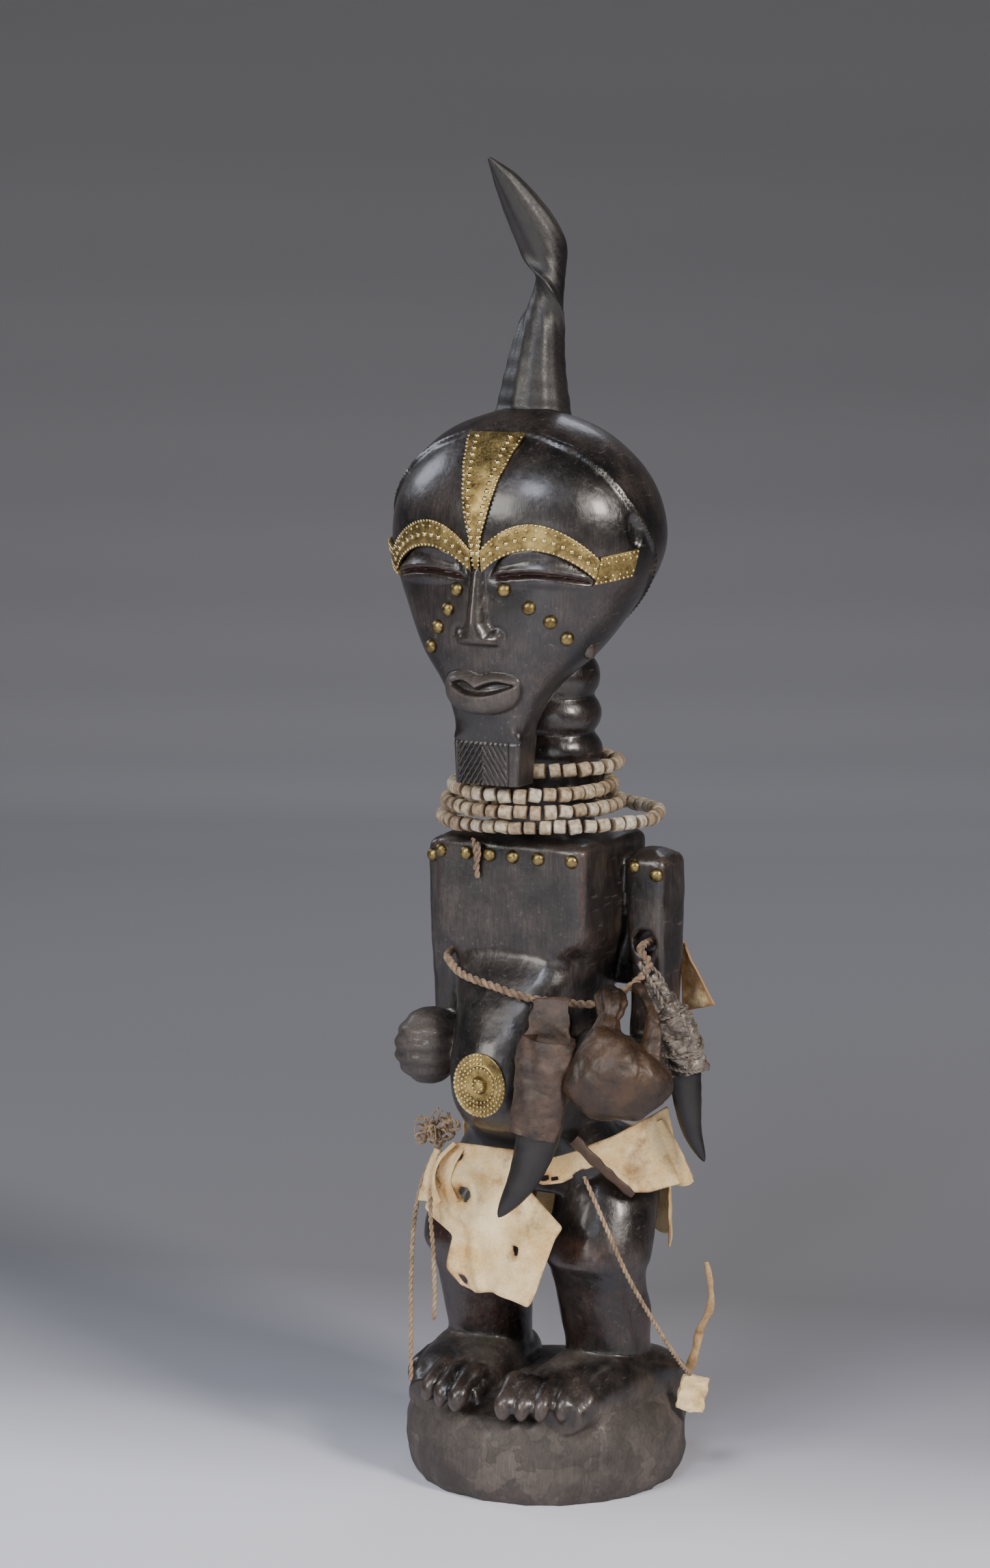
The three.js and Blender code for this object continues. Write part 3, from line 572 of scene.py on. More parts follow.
def foot(side):
    """One foot, flat on the base, by places along it: y, x, half width, bottom and top."""
    places = [
        (46, 56, 18, 46, 66),
        (32, 48, 28, 42, 76),
        (0, 43, 31, 40, 83),
        (-32, 40, 29, 40, 81),
        (-52, 37, 27, 42, 77),
        (-68, 35, 24, 44, 66),
    ]
    plan = smooth_line([place[:3] for place in places], 40)
    levels = smooth_line([(y, low, high) for y, _, _, low, high in places], 40)
    angle = full_turn(56)
    c, s = np.cos(angle), np.sin(angle)
    rings = []
    for (y, x, half), (_, low, high) in zip(plan, levels):
        across = side * x + half * np.sign(c) * np.abs(c) ** 0.7
        up = (low + high) / 2 + (high - low) / 2 * np.sign(s) * np.abs(s) ** 0.8
        rings.append(np.stack([across, np.full(56, y), up], 1))
    return skin("foot", rings)


def toes(side):
    """Five long toes that bend down over the rim of the base."""
    made = []
    for i in range(5):
        across = 15 + i * 10.4 if side > 0 else 17 + i * 12.4
        thick = 6.8 if i == 0 else 5.7
        rim = math.sqrt(75**2 - across**2)
        knuckles = [(0.9, 22, 72 - i * 1.2), (0.96, 8, 72.5 - i * 0.8)]
        knuckles += [(1, -5, 66), (1.02, -10.5, 58), (1.02, -11.5, 53)]
        line = smooth_line([(side * across * share, -rim + back, z) for share, back, z in knuckles], 26)

        def shape(t, a):
            tip = math.sqrt(max(0.02, 1 - t**7))
            plump = thick * min(1, 0.62 + 1.2 * t) * (1 - 0.1 * math.sin(t * 14)) * tip
            return plump * np.cos(a), plump * 0.9 * np.sin(a)

        made.append(sweep("toe", line, shape, around=20))
    return made


def hand(side):
    """A closed fist with the fingers as level ridges round it."""
    x, y, middle = side * 58, -42, 266
    rings = []
    for level in np.linspace(-1, 1, 66):
        z = middle + level * 23
        bulge = math.sqrt(max(0.06, 1 - 0.94 * level**2))
        ridge = 0.84 + 0.18 * abs(math.sin(level * math.pi * 2.6 + 0.4)) ** 0.5
        ring = on_section((z, x, y, 20 * bulge, 23 * bulge, 23 * bulge, 2.3), full_turn(64))
        centre = np.array([x, y, z])
        scale = np.where(ring[:, 1] > -30, 0.95, ridge)
        rings.append(centre + (ring - centre) * scale[:, None])
    return skin("hand", rings)


def forearm(side):
    line = smooth_line([(side * 67, 28, 268), (side * 66, 8, 266), (side * 63, -34, 266)], 24)
    return round_bar("forearm", line, 12.5, 32)


def hair_rolls():
    """The neck, a stack of rolls of hair."""
    rings = []
    for low, high, half, back in HAIR_ROLLS:
        for t in np.linspace(0, 1, 14, endpoint=False):
            share = 0.84 + 0.18 * math.sin(math.pi * t) ** 0.6
            section = (low + (high - low) * t, 0, -3, half * share, 26 * share, back * share, 2.2)
            rings.append(even_ring(section, 64))
    rings.append(even_ring((540, 0, -3, 24, 26, 22, 2.2), 64))
    return skin("neck", rings)


def smoothstep(low, high, value):
    t = np.clip((value - low) / (high - low), 0, 1)
    return t * t * (3 - 2 * t)


def face_depth(x, y, z):
    """The head's front, carved: hollows, lids with their slit, nose, lips and beard cuts."""
    eye_x = np.abs(x) - EYE_MIDDLE
    hollow = 1 - (eye_x / 34) ** 2 - ((z - 559) / 16) ** 2
    deep = 7.5 * smoothstep(0, 0.75, hollow) * smoothstep(550, 566, z)
    y = y + deep
    slit = slit_height(x)
    upper = z > slit
    tall = np.where(upper, 14.0 - 0.06 * eye_x, 9.0)
    lid = np.clip(1 - (np.abs(eye_x) / 28.5) ** 2.3 - (np.abs(z - slit) / tall) ** 2, 0, 1)
    y = y - np.where(upper, 9.4 * lid**0.62, 4.4 * lid**1.25 + 0.3 * smoothstep(0, 0.4, lid))
    y = y - 1.1 * smoothstep(-0.2, 0.9, z - slit) * smoothstep(0.0, 0.3, lid) * upper
    open_slit = smoothstep(2.2, 0.9, np.abs(z - slit + 0.5)) * smoothstep(0.05, 0.4, lid)
    y = y + 3.2 * open_slit
    levels, halves, fronts = zip(*NOSE)
    half = np.interp(z, levels, halves)
    front = np.interp(z, levels, fronts) * smoothstep(515.5, 518.5, z) * smoothstep(572, 560, z)
    ridge = 1 - np.abs(x / half) ** 1.7
    nose = -82 - front * np.clip(ridge, 0, 1) ** 0.45 + 8 * (front < 0.5)
    y = np.where((ridge > 0) & (z > 515) & (z < 572), np.minimum(y, nose), y)
    for side in (1, -1):
        wing = 1 - ((x - side * 10) / 6.5) ** 2 - ((z - 522.0) / 6.0) ** 2
        y = np.where(wing > 0, np.minimum(y, -82.5 - 6.0 * np.clip(wing, 0, 1) ** 0.7), y)
        curl = np.hypot(x - side * 12.5, z - 523.5)
        y = y + 0.9 * np.exp(-(((curl - 4.6) / 0.8) ** 2)) * (z > 522) * (y < -78)
    y = lips(x, y, z)
    return beard_cuts(x, y, z)


def slit_height(x):
    """The height of the slit between the lids, which falls towards the temples."""
    return EYE_SLIT - 0.0052 * (np.abs(x) - EYE_MIDDLE + 4) ** 2


def lips(x, y, z):
    """Full lips like an eight, parted round a hollow that the upper lip dips into."""
    outer = mouth_reach(x, z)
    full = -81 - 12.0 * np.clip(outer, 0, 1) ** 0.36 + 0.007 * x**2
    y = np.where(outer > 0, np.minimum(y, full), y)
    return y + 6.0 * smoothstep(-0.7, 1.8, mouth_opening(x, z)) * (outer > 0)


def mouth_opening(x, z):
    """How far inside the parted lips a point lies, in millimetres; below 0 outside."""
    reach = np.where(x > 0, x / 23.4, -x / 18.6)
    inside = reach < 1
    reach = np.clip(reach, 0, 1)
    top = 492.6 + 1.6 * reach + 3.2 * np.sin(reach * math.pi) ** 1.1
    low = 488.0 + 6.4 * reach**2
    return np.where(inside, np.minimum(z - low, top - z), -9)


def mouth_reach(x, z):
    """1 in the middle of the lips and 0 along their edge, which turns up at the corners."""
    rise = z - 488.4 - 0.0055 * x**2
    tall = np.where(rise > 0, 12.6 - 2.0 * np.exp(-((x / 5) ** 2)), 12.4)
    return 1 - (np.abs(x) / 25.2) ** 2.8 - (np.abs(rise) / tall) ** 2.4


def beard_cuts(x, y, z):
    """A line above the beard block, its edge panels, and chevrons cut between them."""
    front = smoothstep(-70, -73, y)
    y = y + 0.9 * np.exp(-(((z - 459.5) / 0.6) ** 2)) * front
    for edge in (-19.2, 14.6):
        y = y + 0.8 * np.exp(-(((x - edge) / 0.55) ** 2)) * front * (z < 459.5)
    inside = smoothstep(-18.6, -17.8, x) * smoothstep(14.0, 13.2, x) * smoothstep(458.8, 457.8, z) * front
    lean = np.where(x < -2.2, 1.0, -1.0) * (x + 2.2) * 1.55
    shake = 0.35 * np.sin(x * 1.7 + z * 0.6)
    wave = 0.5 + 0.5 * np.cos((z - lean + shake) / 5.2 * 2 * math.pi)
    return y + 1.7 * wave**4 * inside


# degrees from straight ahead, and the height of the hair's edge there
HAIR_LINE = [
    (0, 642.8), (38, 637), (59, 629), (70, 617), (75, 605), (79, 594), (84, 584), (92, 566), (101, 544),
    (112, 522), (180, 515),
]


def hair_lift(points):
    """How far the hair's cap and the thin raised line along its edge stand off the skull."""
    x, y, z = points.T
    degrees = np.degrees(np.arctan2(np.abs(x), SKULL_MIDDLE - y))
    edge = np.interp(degrees, *zip(*HAIR_LINE))
    slope = np.interp(degrees, [0, 50, 70, 84, 100, 120], [0.1, 0.4, 1.0, 1.6, 1.6, 0.6])
    away = (z - edge) / np.sqrt(1 + slope**2)
    cap = 1.1 * smoothstep(-0.8, 0.8, away)
    line = 1.5 * np.exp(-(((away - 0.2) / 1.3) ** 2))
    sunk = np.hypot((degrees - 78) / 3.5, (z - 583 + (degrees - 78) * 0.9) / 8.5) + 9 * (x < 0)
    chip = 2.6 * smoothstep(1.15, 0.7, sunk)
    return (cap + line) * smoothstep(505, 530, z) - chip


def head():
    """The head as one finely spaced loft, carved by moving its points."""
    around = sizes().head_columns
    shares = np.linspace(0, 1, sizes().head_rows)
    # more rows where the mouth, the eyes and the hair line are
    heights = np.interp(shares, [0, 0.2, 0.46, 0.78, 0.92, 1], [434, 461, 508, 576, 630, 650])
    sections = [section_at(HEAD, z) for z in heights]
    rings = np.array([even_ring(section, around, 0.68) for section in sections])
    plain = rings.reshape(-1, 3)
    x, y, z = plain.T
    facing = y < np.repeat([section[2] for section in sections], around) - 1
    moved = plain.copy()
    moved[:, 1] = np.where(facing, face_depth(x, y, z), y)
    middle = np.stack([0 * x, np.full_like(x, SKULL_MIDDLE), np.clip(z - 20, 500, 590)], 1)
    moved += unit(moved - middle) * hair_lift(plain)[:, None]
    return skin("head", moved.reshape(rings.shape))


def worn(obj, rounds=6):
    """How much each point stands out of its surroundings, from -1 in a hollow to 1 on an edge."""
    mesh = obj.data
    pairs = np.empty(len(mesh.edges) * 2, np.int64)
    mesh.edges.foreach_get("vertices", pairs)
    a, b = pairs.reshape(-1, 2).T
    points, normals = points_of(obj), normals_of(obj)
    count = np.maximum(np.bincount(a, minlength=len(points)) + np.bincount(b, minlength=len(points)), 1)
    step = points[a] - points[b]
    reach = np.maximum(np.linalg.norm(step, axis=1), 1e-6)
    rise_a = (normals[a] * step).sum(1) / reach
    rise_b = -(normals[b] * step).sum(1) / reach
    total = np.bincount(a, rise_a, len(points)) + np.bincount(b, rise_b, len(points))
    value = total / count
    for _ in range(rounds):
        total = np.bincount(a, value[b], len(points)) + np.bincount(b, value[a], len(points))
        value = 0.4 * value + 0.6 * total / count
    return np.clip(value * 5, -1, 1)


def carve_body():
    """The body, base, limbs and neck, run into one skin with a carver's unevenness."""
    use = sizes()
    body = joined("body", body_parts())
    grain = use.carve_grain * 1
    finish_with(body, "REMESH", mode="VOXEL", voxel_size=grain)
    finish_with(body, "SMOOTH", factor=0.5, iterations=2)
    points = points_of(body)
    x, y, z = points.T
    seat = (np.abs(x) < 25) & (np.abs(z - DISC_HEIGHT) < 25) & (y < 0)
    points[:, 1] = np.where(seat, np.maximum(y, DISC_FACE), y)
    points += normals_of(body) * carver_waves(points)[:, None]
    points[:, 2] = np.maximum(points[:, 2], 0)
    move_points(body, points)
    triangles = len(body.data.polygons) * 2
    if triangles > use.body_triangles:
        finish_with(body, "DECIMATE", ratio=use.body_triangles / triangles, use_collapse_triangulate=True)
    return body


def carver_waves(points):
    """Small unevenness left by the blade, in millimetres."""
    broad = [noise.noise(Vector(p) / 16) for p in points]
    fine = [noise.noise(Vector((x / 4, y / 4, z / 9))) for x, y, z in points]
    return np.array(broad) * 0.5 + np.array(fine) * 0.22


# Brass on the head


def on_head(degrees, z):
    """A point over the skull at degrees from straight ahead and a height, and the way it faces."""
    angle = math.radians(degrees)
    here = on_section(section_at(HEAD, z), angle)
    turned = on_section(section_at(HEAD, z), angle + 0.02)
    above = on_section(section_at(HEAD, z + 1), angle)
    normal = unit(np.cross(turned - here, above - here))
    return here + normal * 1.1 * smoothstep(620, 645, z), normal


def forehead_place(share, side):
    spread = np.interp(share, [0, 0.25, 0.5, 0.68, 0.88, 1], [1.0, 2.6, 6.2, 9, 15, 22])
    return on_head(side * spread, 562 + 75 * share)


def brow_place(hand_side):
    def place(share, side):
        rise = math.sin(math.pi * (0.1 + 0.86 * share) ** 0.86)
        z = 560 + 21 * rise + side * (5.5 + 2 * rise)
        return on_head(hand_side * (2.2 + 51.5 * share), z - 2.5 * (1 - share) ** 6)

    return place


def temple_place(hand_side):
    def place(share, side):
        return on_head(hand_side * (54 + 21 * share), 561.5 + 4 * share + side * 8)

    return place


def brass_sheet(name, place, steps):
    """A thin sheet that follows the skull, a little dented."""
    across = np.linspace(-1, 1, 9)
    rings = []
    for share in np.linspace(0, 1, steps):
        tops, backs = [], []
        for side in across:
            spot, normal = place(share, side)
            dent = noise.noise(Vector(spot) / 5) * 0.25
            edge = 0.5 * abs(side) ** 8
            tops.append(spot + normal * (2.2 + dent - edge))
            backs.append(spot + normal * 0.3)
        rings.append(tops + backs[::-1])
    return skin(name, rings)


def stud(radius, around=8, rings=5):
    """A small dome that stands on its own base, made once and copied."""
    dome = primitive("uv_sphere", segments=around, ring_count=rings * 2, radius=1)
    cut = {"plane_co": (0, 0, -0.2), "plane_no": (0, 0, 1), "clear_inner": True, "use_fill": True}
    edited(dome, ("bisect", cut))
    dome.scale = (radius * MM, radius * MM, radius * 0.8 * MM)
    return placed(dome)


def copies(name, pattern, spots):
    """One mesh with a copy of the pattern at each spot: its place, what it faces, perhaps its scale."""
    shape = points_of(pattern)
    faces = [tuple(p.vertices) for p in pattern.data.polygons]
    points, all_faces = [], []
    for i, (spot, normal, *scale) in enumerate(spots):
        turn = np.array(Vector((0, 0, 1)).rotation_difference(Vector(normal)).to_matrix())
        points.append((shape * (scale[0] if scale else 1)) @ turn.T + spot)
        all_faces += [tuple(i * len(shape) + k for k in face) for face in faces]
    bpy.data.objects.remove(pattern)
    return make(name, np.vstack(points), all_faces)


def row(place, side, gap, first=0.03, last=0.97, lift=2.2):
    """Places a given gap apart along a strip."""
    steps = np.linspace(first, last, 80)
    run = walked(np.array([place(share, side)[0] for share in steps]))
    count = max(2, int(run[-1] / gap) + 1)
    shares = np.interp(np.linspace(0, run[-1], count), run, steps)
    return [(spot + normal * lift, normal) for spot, normal in (place(share, side) for share in shares)]


def node_place(name):
    """Where a nail's CAD node stands, and the way it faces."""
    points = points_of(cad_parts[name])
    middle = points.mean(0)
    _, _, axes = np.linalg.svd(points - middle)
    normal = axes[2]
    heights = (points - middle) @ normal
    wide = np.linalg.norm(points - middle - heights[:, None] * normal, axis=1)
    rim = heights[wide > wide.max() * 0.95].mean()
    if rim > 0:
        normal, rim = -normal, -rim
    return middle + normal * rim, normal


# Horns, ropes and charms


def pick(values, share):
    return np.interp(share, np.linspace(0, 1, len(values)), values)


def crown_horn():
    line = smooth_line(
        [
            (-2, -16, 643), (-2, -15, 650), (-1.5, -14, 668), (-0.3, -11.3, 690), (2.5, -7.4, 712),
            (4.4, -6.5, 730), (0, -10, 748), (-8.5, -17.5, 768), (-15.8, -24, 783), (-23, -31, 796),
        ],
        150,
    )
    wide = [23.5, 20.5, 17.8, 15.4, 13.6, 13, 13.4, 14, 13, 10.6, 7, 1.2]
    flat = [21, 19, 16.5, 14, 11.5, 9.2, 8, 7.6, 7, 6, 4, 1]

    def shape(t, a):
        lean = 0.5 - math.pi * float(smoothstep(0.28, 0.68, t))
        edged = 1 + 0.75 * float(smoothstep(0.05, 0.45, t))
        grooves = 1 - 0.06 * np.exp(-((np.angle(np.exp(1j * (a - 0.75))) / 0.2) ** 2))
        grooves *= 1 - 0.05 * np.exp(-((np.angle(np.exp(1j * (a - 3.7))) / 0.24) ** 2))
        ribs = grooves * (1 + 0.01 * math.sin(t * 95) * (1 - t) + 0.008 * np.sin(a * 14 + t * 6))
        u = pick(wide, t) * np.cos(a) * ribs
        v = pick(flat, t) * np.sign(np.sin(a)) * np.abs(np.sin(a)) ** edged * ribs
        return u * math.cos(lean) - v * math.sin(lean), u * math.sin(lean) + v * math.cos(lean)

    return sweep("crown_horn_twisted", line, shape, around=96)


FRONT_HORN = (14.5, 2.4, [(-3, 98, 272), (-3, 99, 252), (-7, 100, 226), (-15, 101, 204), (-28.5, 101, 183)])
SIDE_HORN = (10.8, 2.2, [(77, 60, 288), (80, 61, 270), (82.5, 62, 248), (86, 62, 226), (93.5, 62, 207)])


def small_horn(name, horn):
    thick, fullness, places = horn

    def shape(t, a):
        radius = thick * (1 - 0.82 * t**fullness) * (1 + 0.02 * math.sin(t * 60) * (1 - t))
        radius = radius * math.sqrt(max(0.02, 1 - t**24)) * (1 + 0.03 * np.cos(3 * a + 4 * t))
        return radius * np.cos(a), radius * 0.9 * np.sin(a)

    return sweep(name, side_line(places, 70), shape, around=40)


def crumpled(obj, reach, size, seed=0.0, crease=0.0):
    """Pushes a skin in and out along its normals and sinks creases in it, as dried leather does."""
    points, normals = points_of(obj), normals_of(obj)
    lift = []
    for p in points:
        broad = noise.noise(Vector(p) / size + Vector((seed, 0, 0)))
        fine = noise.noise(Vector(p) * 2.3 / size + Vector((0, seed, 0)))
        sunk = math.exp(-((broad / 0.07) ** 2)) + 0.5 * math.exp(-((fine / 0.09) ** 2))
        lift.append(reach * (broad + 0.5 * fine) - crease * sunk)
    move_points(obj, points + normals * np.array(lift)[:, None])
    return obj


def sleeve(name, places, radii, wall, folds, steps=90):
    """An open sleeve of leather with a wall of real thickness."""
    line = side_line(places, steps)
    sides, ups = frames_along(line)
    angles = full_turn(56)

    def ring(i, inset):
        share = i / (steps - 1)
        pleats = 1 + folds * np.sin(5 * angles + 9 * share) + folds * np.sin(3 * angles)
        radius = pick(radii, share) * pleats - inset
        u, v = radius * np.cos(angles), radius * 0.92 * np.sin(angles)
        return line[i] + sides[i] * u[:, None] + ups[i] * v[:, None]

    outer = [ring(i, 0) for i in range(steps)]
    inner = [ring(i, wall) for i in range(steps)]
    return skin(name, outer + inner[::-1], loop=True)


def front_sheath():
    """The wrinkled sleeve on the front horn, with the tab that it hangs on folded over the rope."""
    body = sleeve(
        "sleeve",
        [(1.5, 97.5, 289), (-1.5, 98.5, 262), (-8, 100, 232)],
        [16, 18.3, 17.6, 15.6, 14.2],
        1.3,
        folds=0.045,
    )
    tab = leather_tab(
        "tab",
        [(3, 76, 306), (2.5, 81, 309), (1.5, 84.5, 303), (0, 86, 290), (-1, 87, 274)],
        [10, 12, 11, 13.5, 15, 13],
    )
    return crumpled(joined("front_horn_sheath_skin", [body, tab]), 1.3, 13, 2.0, crease=0.5)


def leather_tab(name, places, widths):
    """A flat tab with ragged sides."""

    def shape(t, a):
        ragged = pick(widths, t) * (1 + 0.1 * math.sin(t * 19))
        return ragged * np.sign(np.cos(a)) * np.abs(np.cos(a)) ** 0.6, 1.2 * np.sin(a)

    return sweep(name, side_line(places, 40), shape, around=40, start=beside(1, 0, 0))


def side_wrap():
    """Skin twisted round the side horn's butt, with the strands that tie it up to the rope."""
    body = sleeve(
        "wrap",
        [(60, 62, 319), (67, 61, 306), (76, 61, 288), (83, 62, 261)],
        [3.6, 7.5, 12, 13, 12.2],
        1.4,
        folds=0.11,
        steps=120,
    )
    strands = [
        plied("strand", side_line([(54, 61, 327), (60, 66, 318), (68, 68, 304)], 30), 1.9, 8),
        plied("strand", side_line([(57, 58, 327), (66, 57, 319), (74, 66, 303)], 30), 1.6, 8),
    ]
    for k, (across, z, reach) in enumerate([(72, 297, 10.5), (79, 277, 13.2), (81.5, 268, 13)]):
        ring = [
            beside(across + reach * math.cos(t), 61.5 + reach * math.sin(t), z + 4 * math.cos(t + k))
            for t in full_turn(24)
        ]
        strands.append(plied("strand", smooth_line(ring, 100, loop=True), 1.1, 6, loop=True))
    return joined("side_horn_wrap_skin", [crumpled(body, 3.2, 8, 3.0, crease=1.6), *strands])


def pouch():
    """A gathered skin pouch: a squat sagging body, an ear drawn up to a tied knob, and a strap."""
    body = primitive("uv_sphere", (32, 20, 25), segments=80, ring_count=56, radius=MM)
    points = points_of(body)
    up = np.clip(points[:, 2] / 25, 0, 1)
    points[:, 0] = points[:, 0] * (1 - 0.3 * up) - 7 * up**1.5
    points[:, 2] += 6 * up**3
    turn = np.array(Matrix.Rotation(SIDE_TURN, 3, "Z"))
    move_points(body, points @ turn.T + np.array(beside(41, 110, 268)))

    def fold(name, places, wide, flat, pleats):
        def shape(t, a):
            pleat = 1 + 0.16 * np.sin(pleats * a) * (0.3 + t)
            return pick(wide, t) * np.cos(a) * pleat, pick(flat, t) * np.sin(a) * pleat

        return sweep(name, side_line(places, 60), shape, around=56)

    ear = fold(
        "ear",
        [(34, 110, 280), (34, 106, 292), (36.5, 98, 303), (36.5, 88, 311), (36, 80, 316)],
        [20, 15, 9, 6, 8.5, 8.5, 4],
        [13, 10, 7, 5.5, 7, 7, 4],
        7,
    )
    strap = fold(
        "strap",
        [(57, 108, 278), (60.5, 104, 292), (60, 95, 304), (56, 84, 313), (52, 75, 315.5)],
        [10, 6.5, 4, 3, 2.6],
        [5, 3, 2.2, 1.8, 1.8],
        3,
    )
    tie_line = [
        beside(36.5 + 6.6 * math.cos(t), 96 + 5 * math.sin(t), 304.5 - 3 * math.sin(t)) for t in full_turn(20)
    ]
    whole = joined("pouch", [body, ear, strap])
    finish_with(whole, "REMESH", mode="VOXEL", voxel_size=0.9 * MM)
    finish_with(whole, "SMOOTH", factor=0.5, iterations=3)
    whole = crumpled(whole, 1.7, 15, 7.0, crease=0.3)
    tie = plied("tie", smooth_line(tie_line, 90, loop=True), 1.3, 6, loop=True)
    return joined("skin_pouch_leather", [whole, tie])


def round_trunk(degrees, z, out):
    _, x, y, half, front, back, power = section_at(TRUNK, z)
    return tuple(on_section((z, x, y, half + out, front + out, back + out, power), math.radians(degrees)))


def charm_rope():
    radius = sizes().rope_radius / MM
    out = radius + 2
    points = [round_trunk(d, 312 - 0.22 * d, out) for d in (-40, -20, 0, 20)]
    points += [beside(12, 70, 304.5), beside(30, 74, 305.5), beside(48, 70, 314), beside(60, 58, 325)]
    points += [(70, -14, 332), (68, 4, 334), (68, 28, 334), (60, 40, 334)]
    points += [round_trunk(d, 340 - 0.06 * d, out) for d in (150, 180, 210, 240, 270, 295)]
    return plied("charm_rope_fibre", smooth_line(points, 420, loop=True), radius, 10.5, loop=True)


def waist_rope():
    radius = sizes().rope_radius / MM
    points = []
    for i in range(20):
        degrees = i * 18
        points.append(round_trunk(degrees, 219 - 3 * math.cos(math.radians(degrees)), radius + 4.5))
    return plied("waist_rope_fibre", smooth_line(points, 340, loop=True), radius, 10.5, loop=True)


# middle across, middle in depth, half width, depth, height, and how far the left side is up
STRANDS = {
    "bead_strand_top": (0, -4, 45, 42, 438, 2),
    "bead_strand_second": (0, -19.5, 46, 50.5, 427.5, 0),
    "bead_strand_third": (0, -18, 52, 50.5, 417.5, 0),
    "bead_strand_bottom": (4, -4, 66, 60, 407.5, 2),
}


def bead_strand(name, seed):
    """Barrel beads on a thread, no two quite the same size, lean or colour."""
    use = sizes()
    chance = np.random.default_rng(seed)
    x, y, half, deep, z, tilt = STRANDS[name]
    turn = full_turn(20)
    known = np.stack([x + half * np.sin(turn), y - deep * np.cos(turn), z + tilt * np.sin(turn)], 1)
    steps = 720
    line = smooth_line(known, steps, loop=True)
    total = line_length(np.vstack([line, line[:1]]))
    gap = use.bead_length / MM + 0.35
    count = int(total / gap)
    bead = barrel_bead(use.bead_radius / MM, use.bead_length / MM)
    heights = np.abs(points_of(bead)[:, 2])
    ends = heights / heights.max()
    spots, tones = [], []
    for i in range(count):
        at = i / count * steps
        k = int(at)
        here = line[k] + (line[(k + 1) % steps] - line[k]) * (at - k)
        along = unit(unit(line[(k + 2) % steps] - line[k - 2]) + chance.normal(0, 0.085, 3))
        girth = chance.uniform(0.9, 1.08)
        stretch = chance.uniform(0.82, 1.02) * total / count / gap
        spots.append((here + chance.normal(0, 0.35, 3), along, (girth, girth, stretch)))
        tones += [chance.uniform(0, 1)] * len(ends)
    beads = copies("beads", bead, spots)
    thread = round_bar("thread", line[::4], 0.9, 6, loop=True)
    thread_points = len(thread.data.vertices)
    whole = joined(name + "_beads", [beads, thread])
    give_tone(whole, "tone", [*tones, *[-1.0] * thread_points])
    # darker towards each bead's ends: soiling, and painted shade where the beads meet
    give_tone(whole, "end_grime_and_shade", [*np.tile(ends, count), *[1.0] * thread_points])
    return whole


def barrel_bead(radius, long):
    """One bead with rounded shoulders, swollen a little in the middle."""
    bead = primitive("cylinder", vertices=16, radius=radius * MM, depth=long * MM)
    rim = {"limit_method": "ANGLE", "angle_limit": math.radians(60)}
    finish_with(bead, "BEVEL", width=1.1 * MM, segments=3, **rim)
    points = points_of(bead)
    swell = 1 + 0.05 * (1 - (points[:, 2] / (long / 2)) ** 2)
    points[:, :2] *= swell[:, None]
    move_points(bead, points)
    return bead


# Hides: a grid laid out over its own shape, cut, given its thickness and softened


def hide_sheet(name, place, grid, holes, stain, seed):
    """A curved sheet of dried hide. Returns the object, its two flat sides and its flat area."""
    columns, rows = grid
    obj = name_it(primitive("grid", x_subdivisions=columns, y_subdivisions=rows, size=2), name)
    flat = read_vertices(obj, "co")
    u, v = (flat[:, 0] + 1) / 2, (1 - flat[:, 1]) / 2
    move_points(obj, [place(a, b) for a, b in zip(u, v)])
    walk, stops = np.linspace(0, 1, 40), np.linspace(0, 1, 5)
    width = max(line_length(np.array([place(a, b) for a in walk])) for b in stops)
    height = max(line_length(np.array([place(a, b) for b in walk])) for a in stops)
    across, down, narrow, low, strength = stain
    give_tone(obj, "stain", strength * np.exp(-(((u - across) * narrow) ** 2) - ((v - down) * low) ** 2))
    mesh = bmesh.new()
    mesh.from_mesh(obj.data)
    gone = []
    for face in mesh.faces:
        a, b = np.mean([[u[corner.index], v[corner.index]] for corner in face.verts], 0)
        if any(math.hypot((a - c) * wide, (b - d) * tall) < 1 for c, d, wide, tall in holes):
            gone.append(face)
    bmesh.ops.delete(mesh, geom=gone, context="FACES")
    rim = np.array([corner.co for corner in mesh.verts if corner.is_boundary])
    gaps = [np.linalg.norm(rim - np.array(corner.co), axis=1).min() / MM for corner in mesh.verts]
    mesh.to_mesh(obj.data)
    mesh.free()
    give_tone(obj, "rim", np.exp(-np.array(gaps) / 1.6))
    area = sum(p.area for p in obj.data.polygons)
    crumpled(obj, 0.8, 12, seed)
    finish_with(obj, "SOLIDIFY", thickness=sizes().hide_thickness, offset=0)
    finish_with(obj, "SUBSURF", levels=1, render_levels=1)
    return obj, (width * MM, height * MM), area


FLAP_LEFT = ([0, 0.2, 0.36, 0.5, 0.56, 0.66, 0.88, 1], [-30, -41, -44, -47.5, -41, -25, -25, -16])
FLAP_RIGHT = ([0, 0.22, 0.47, 0.56, 0.93, 1], [10, 20, 47, 42, 31, 28])


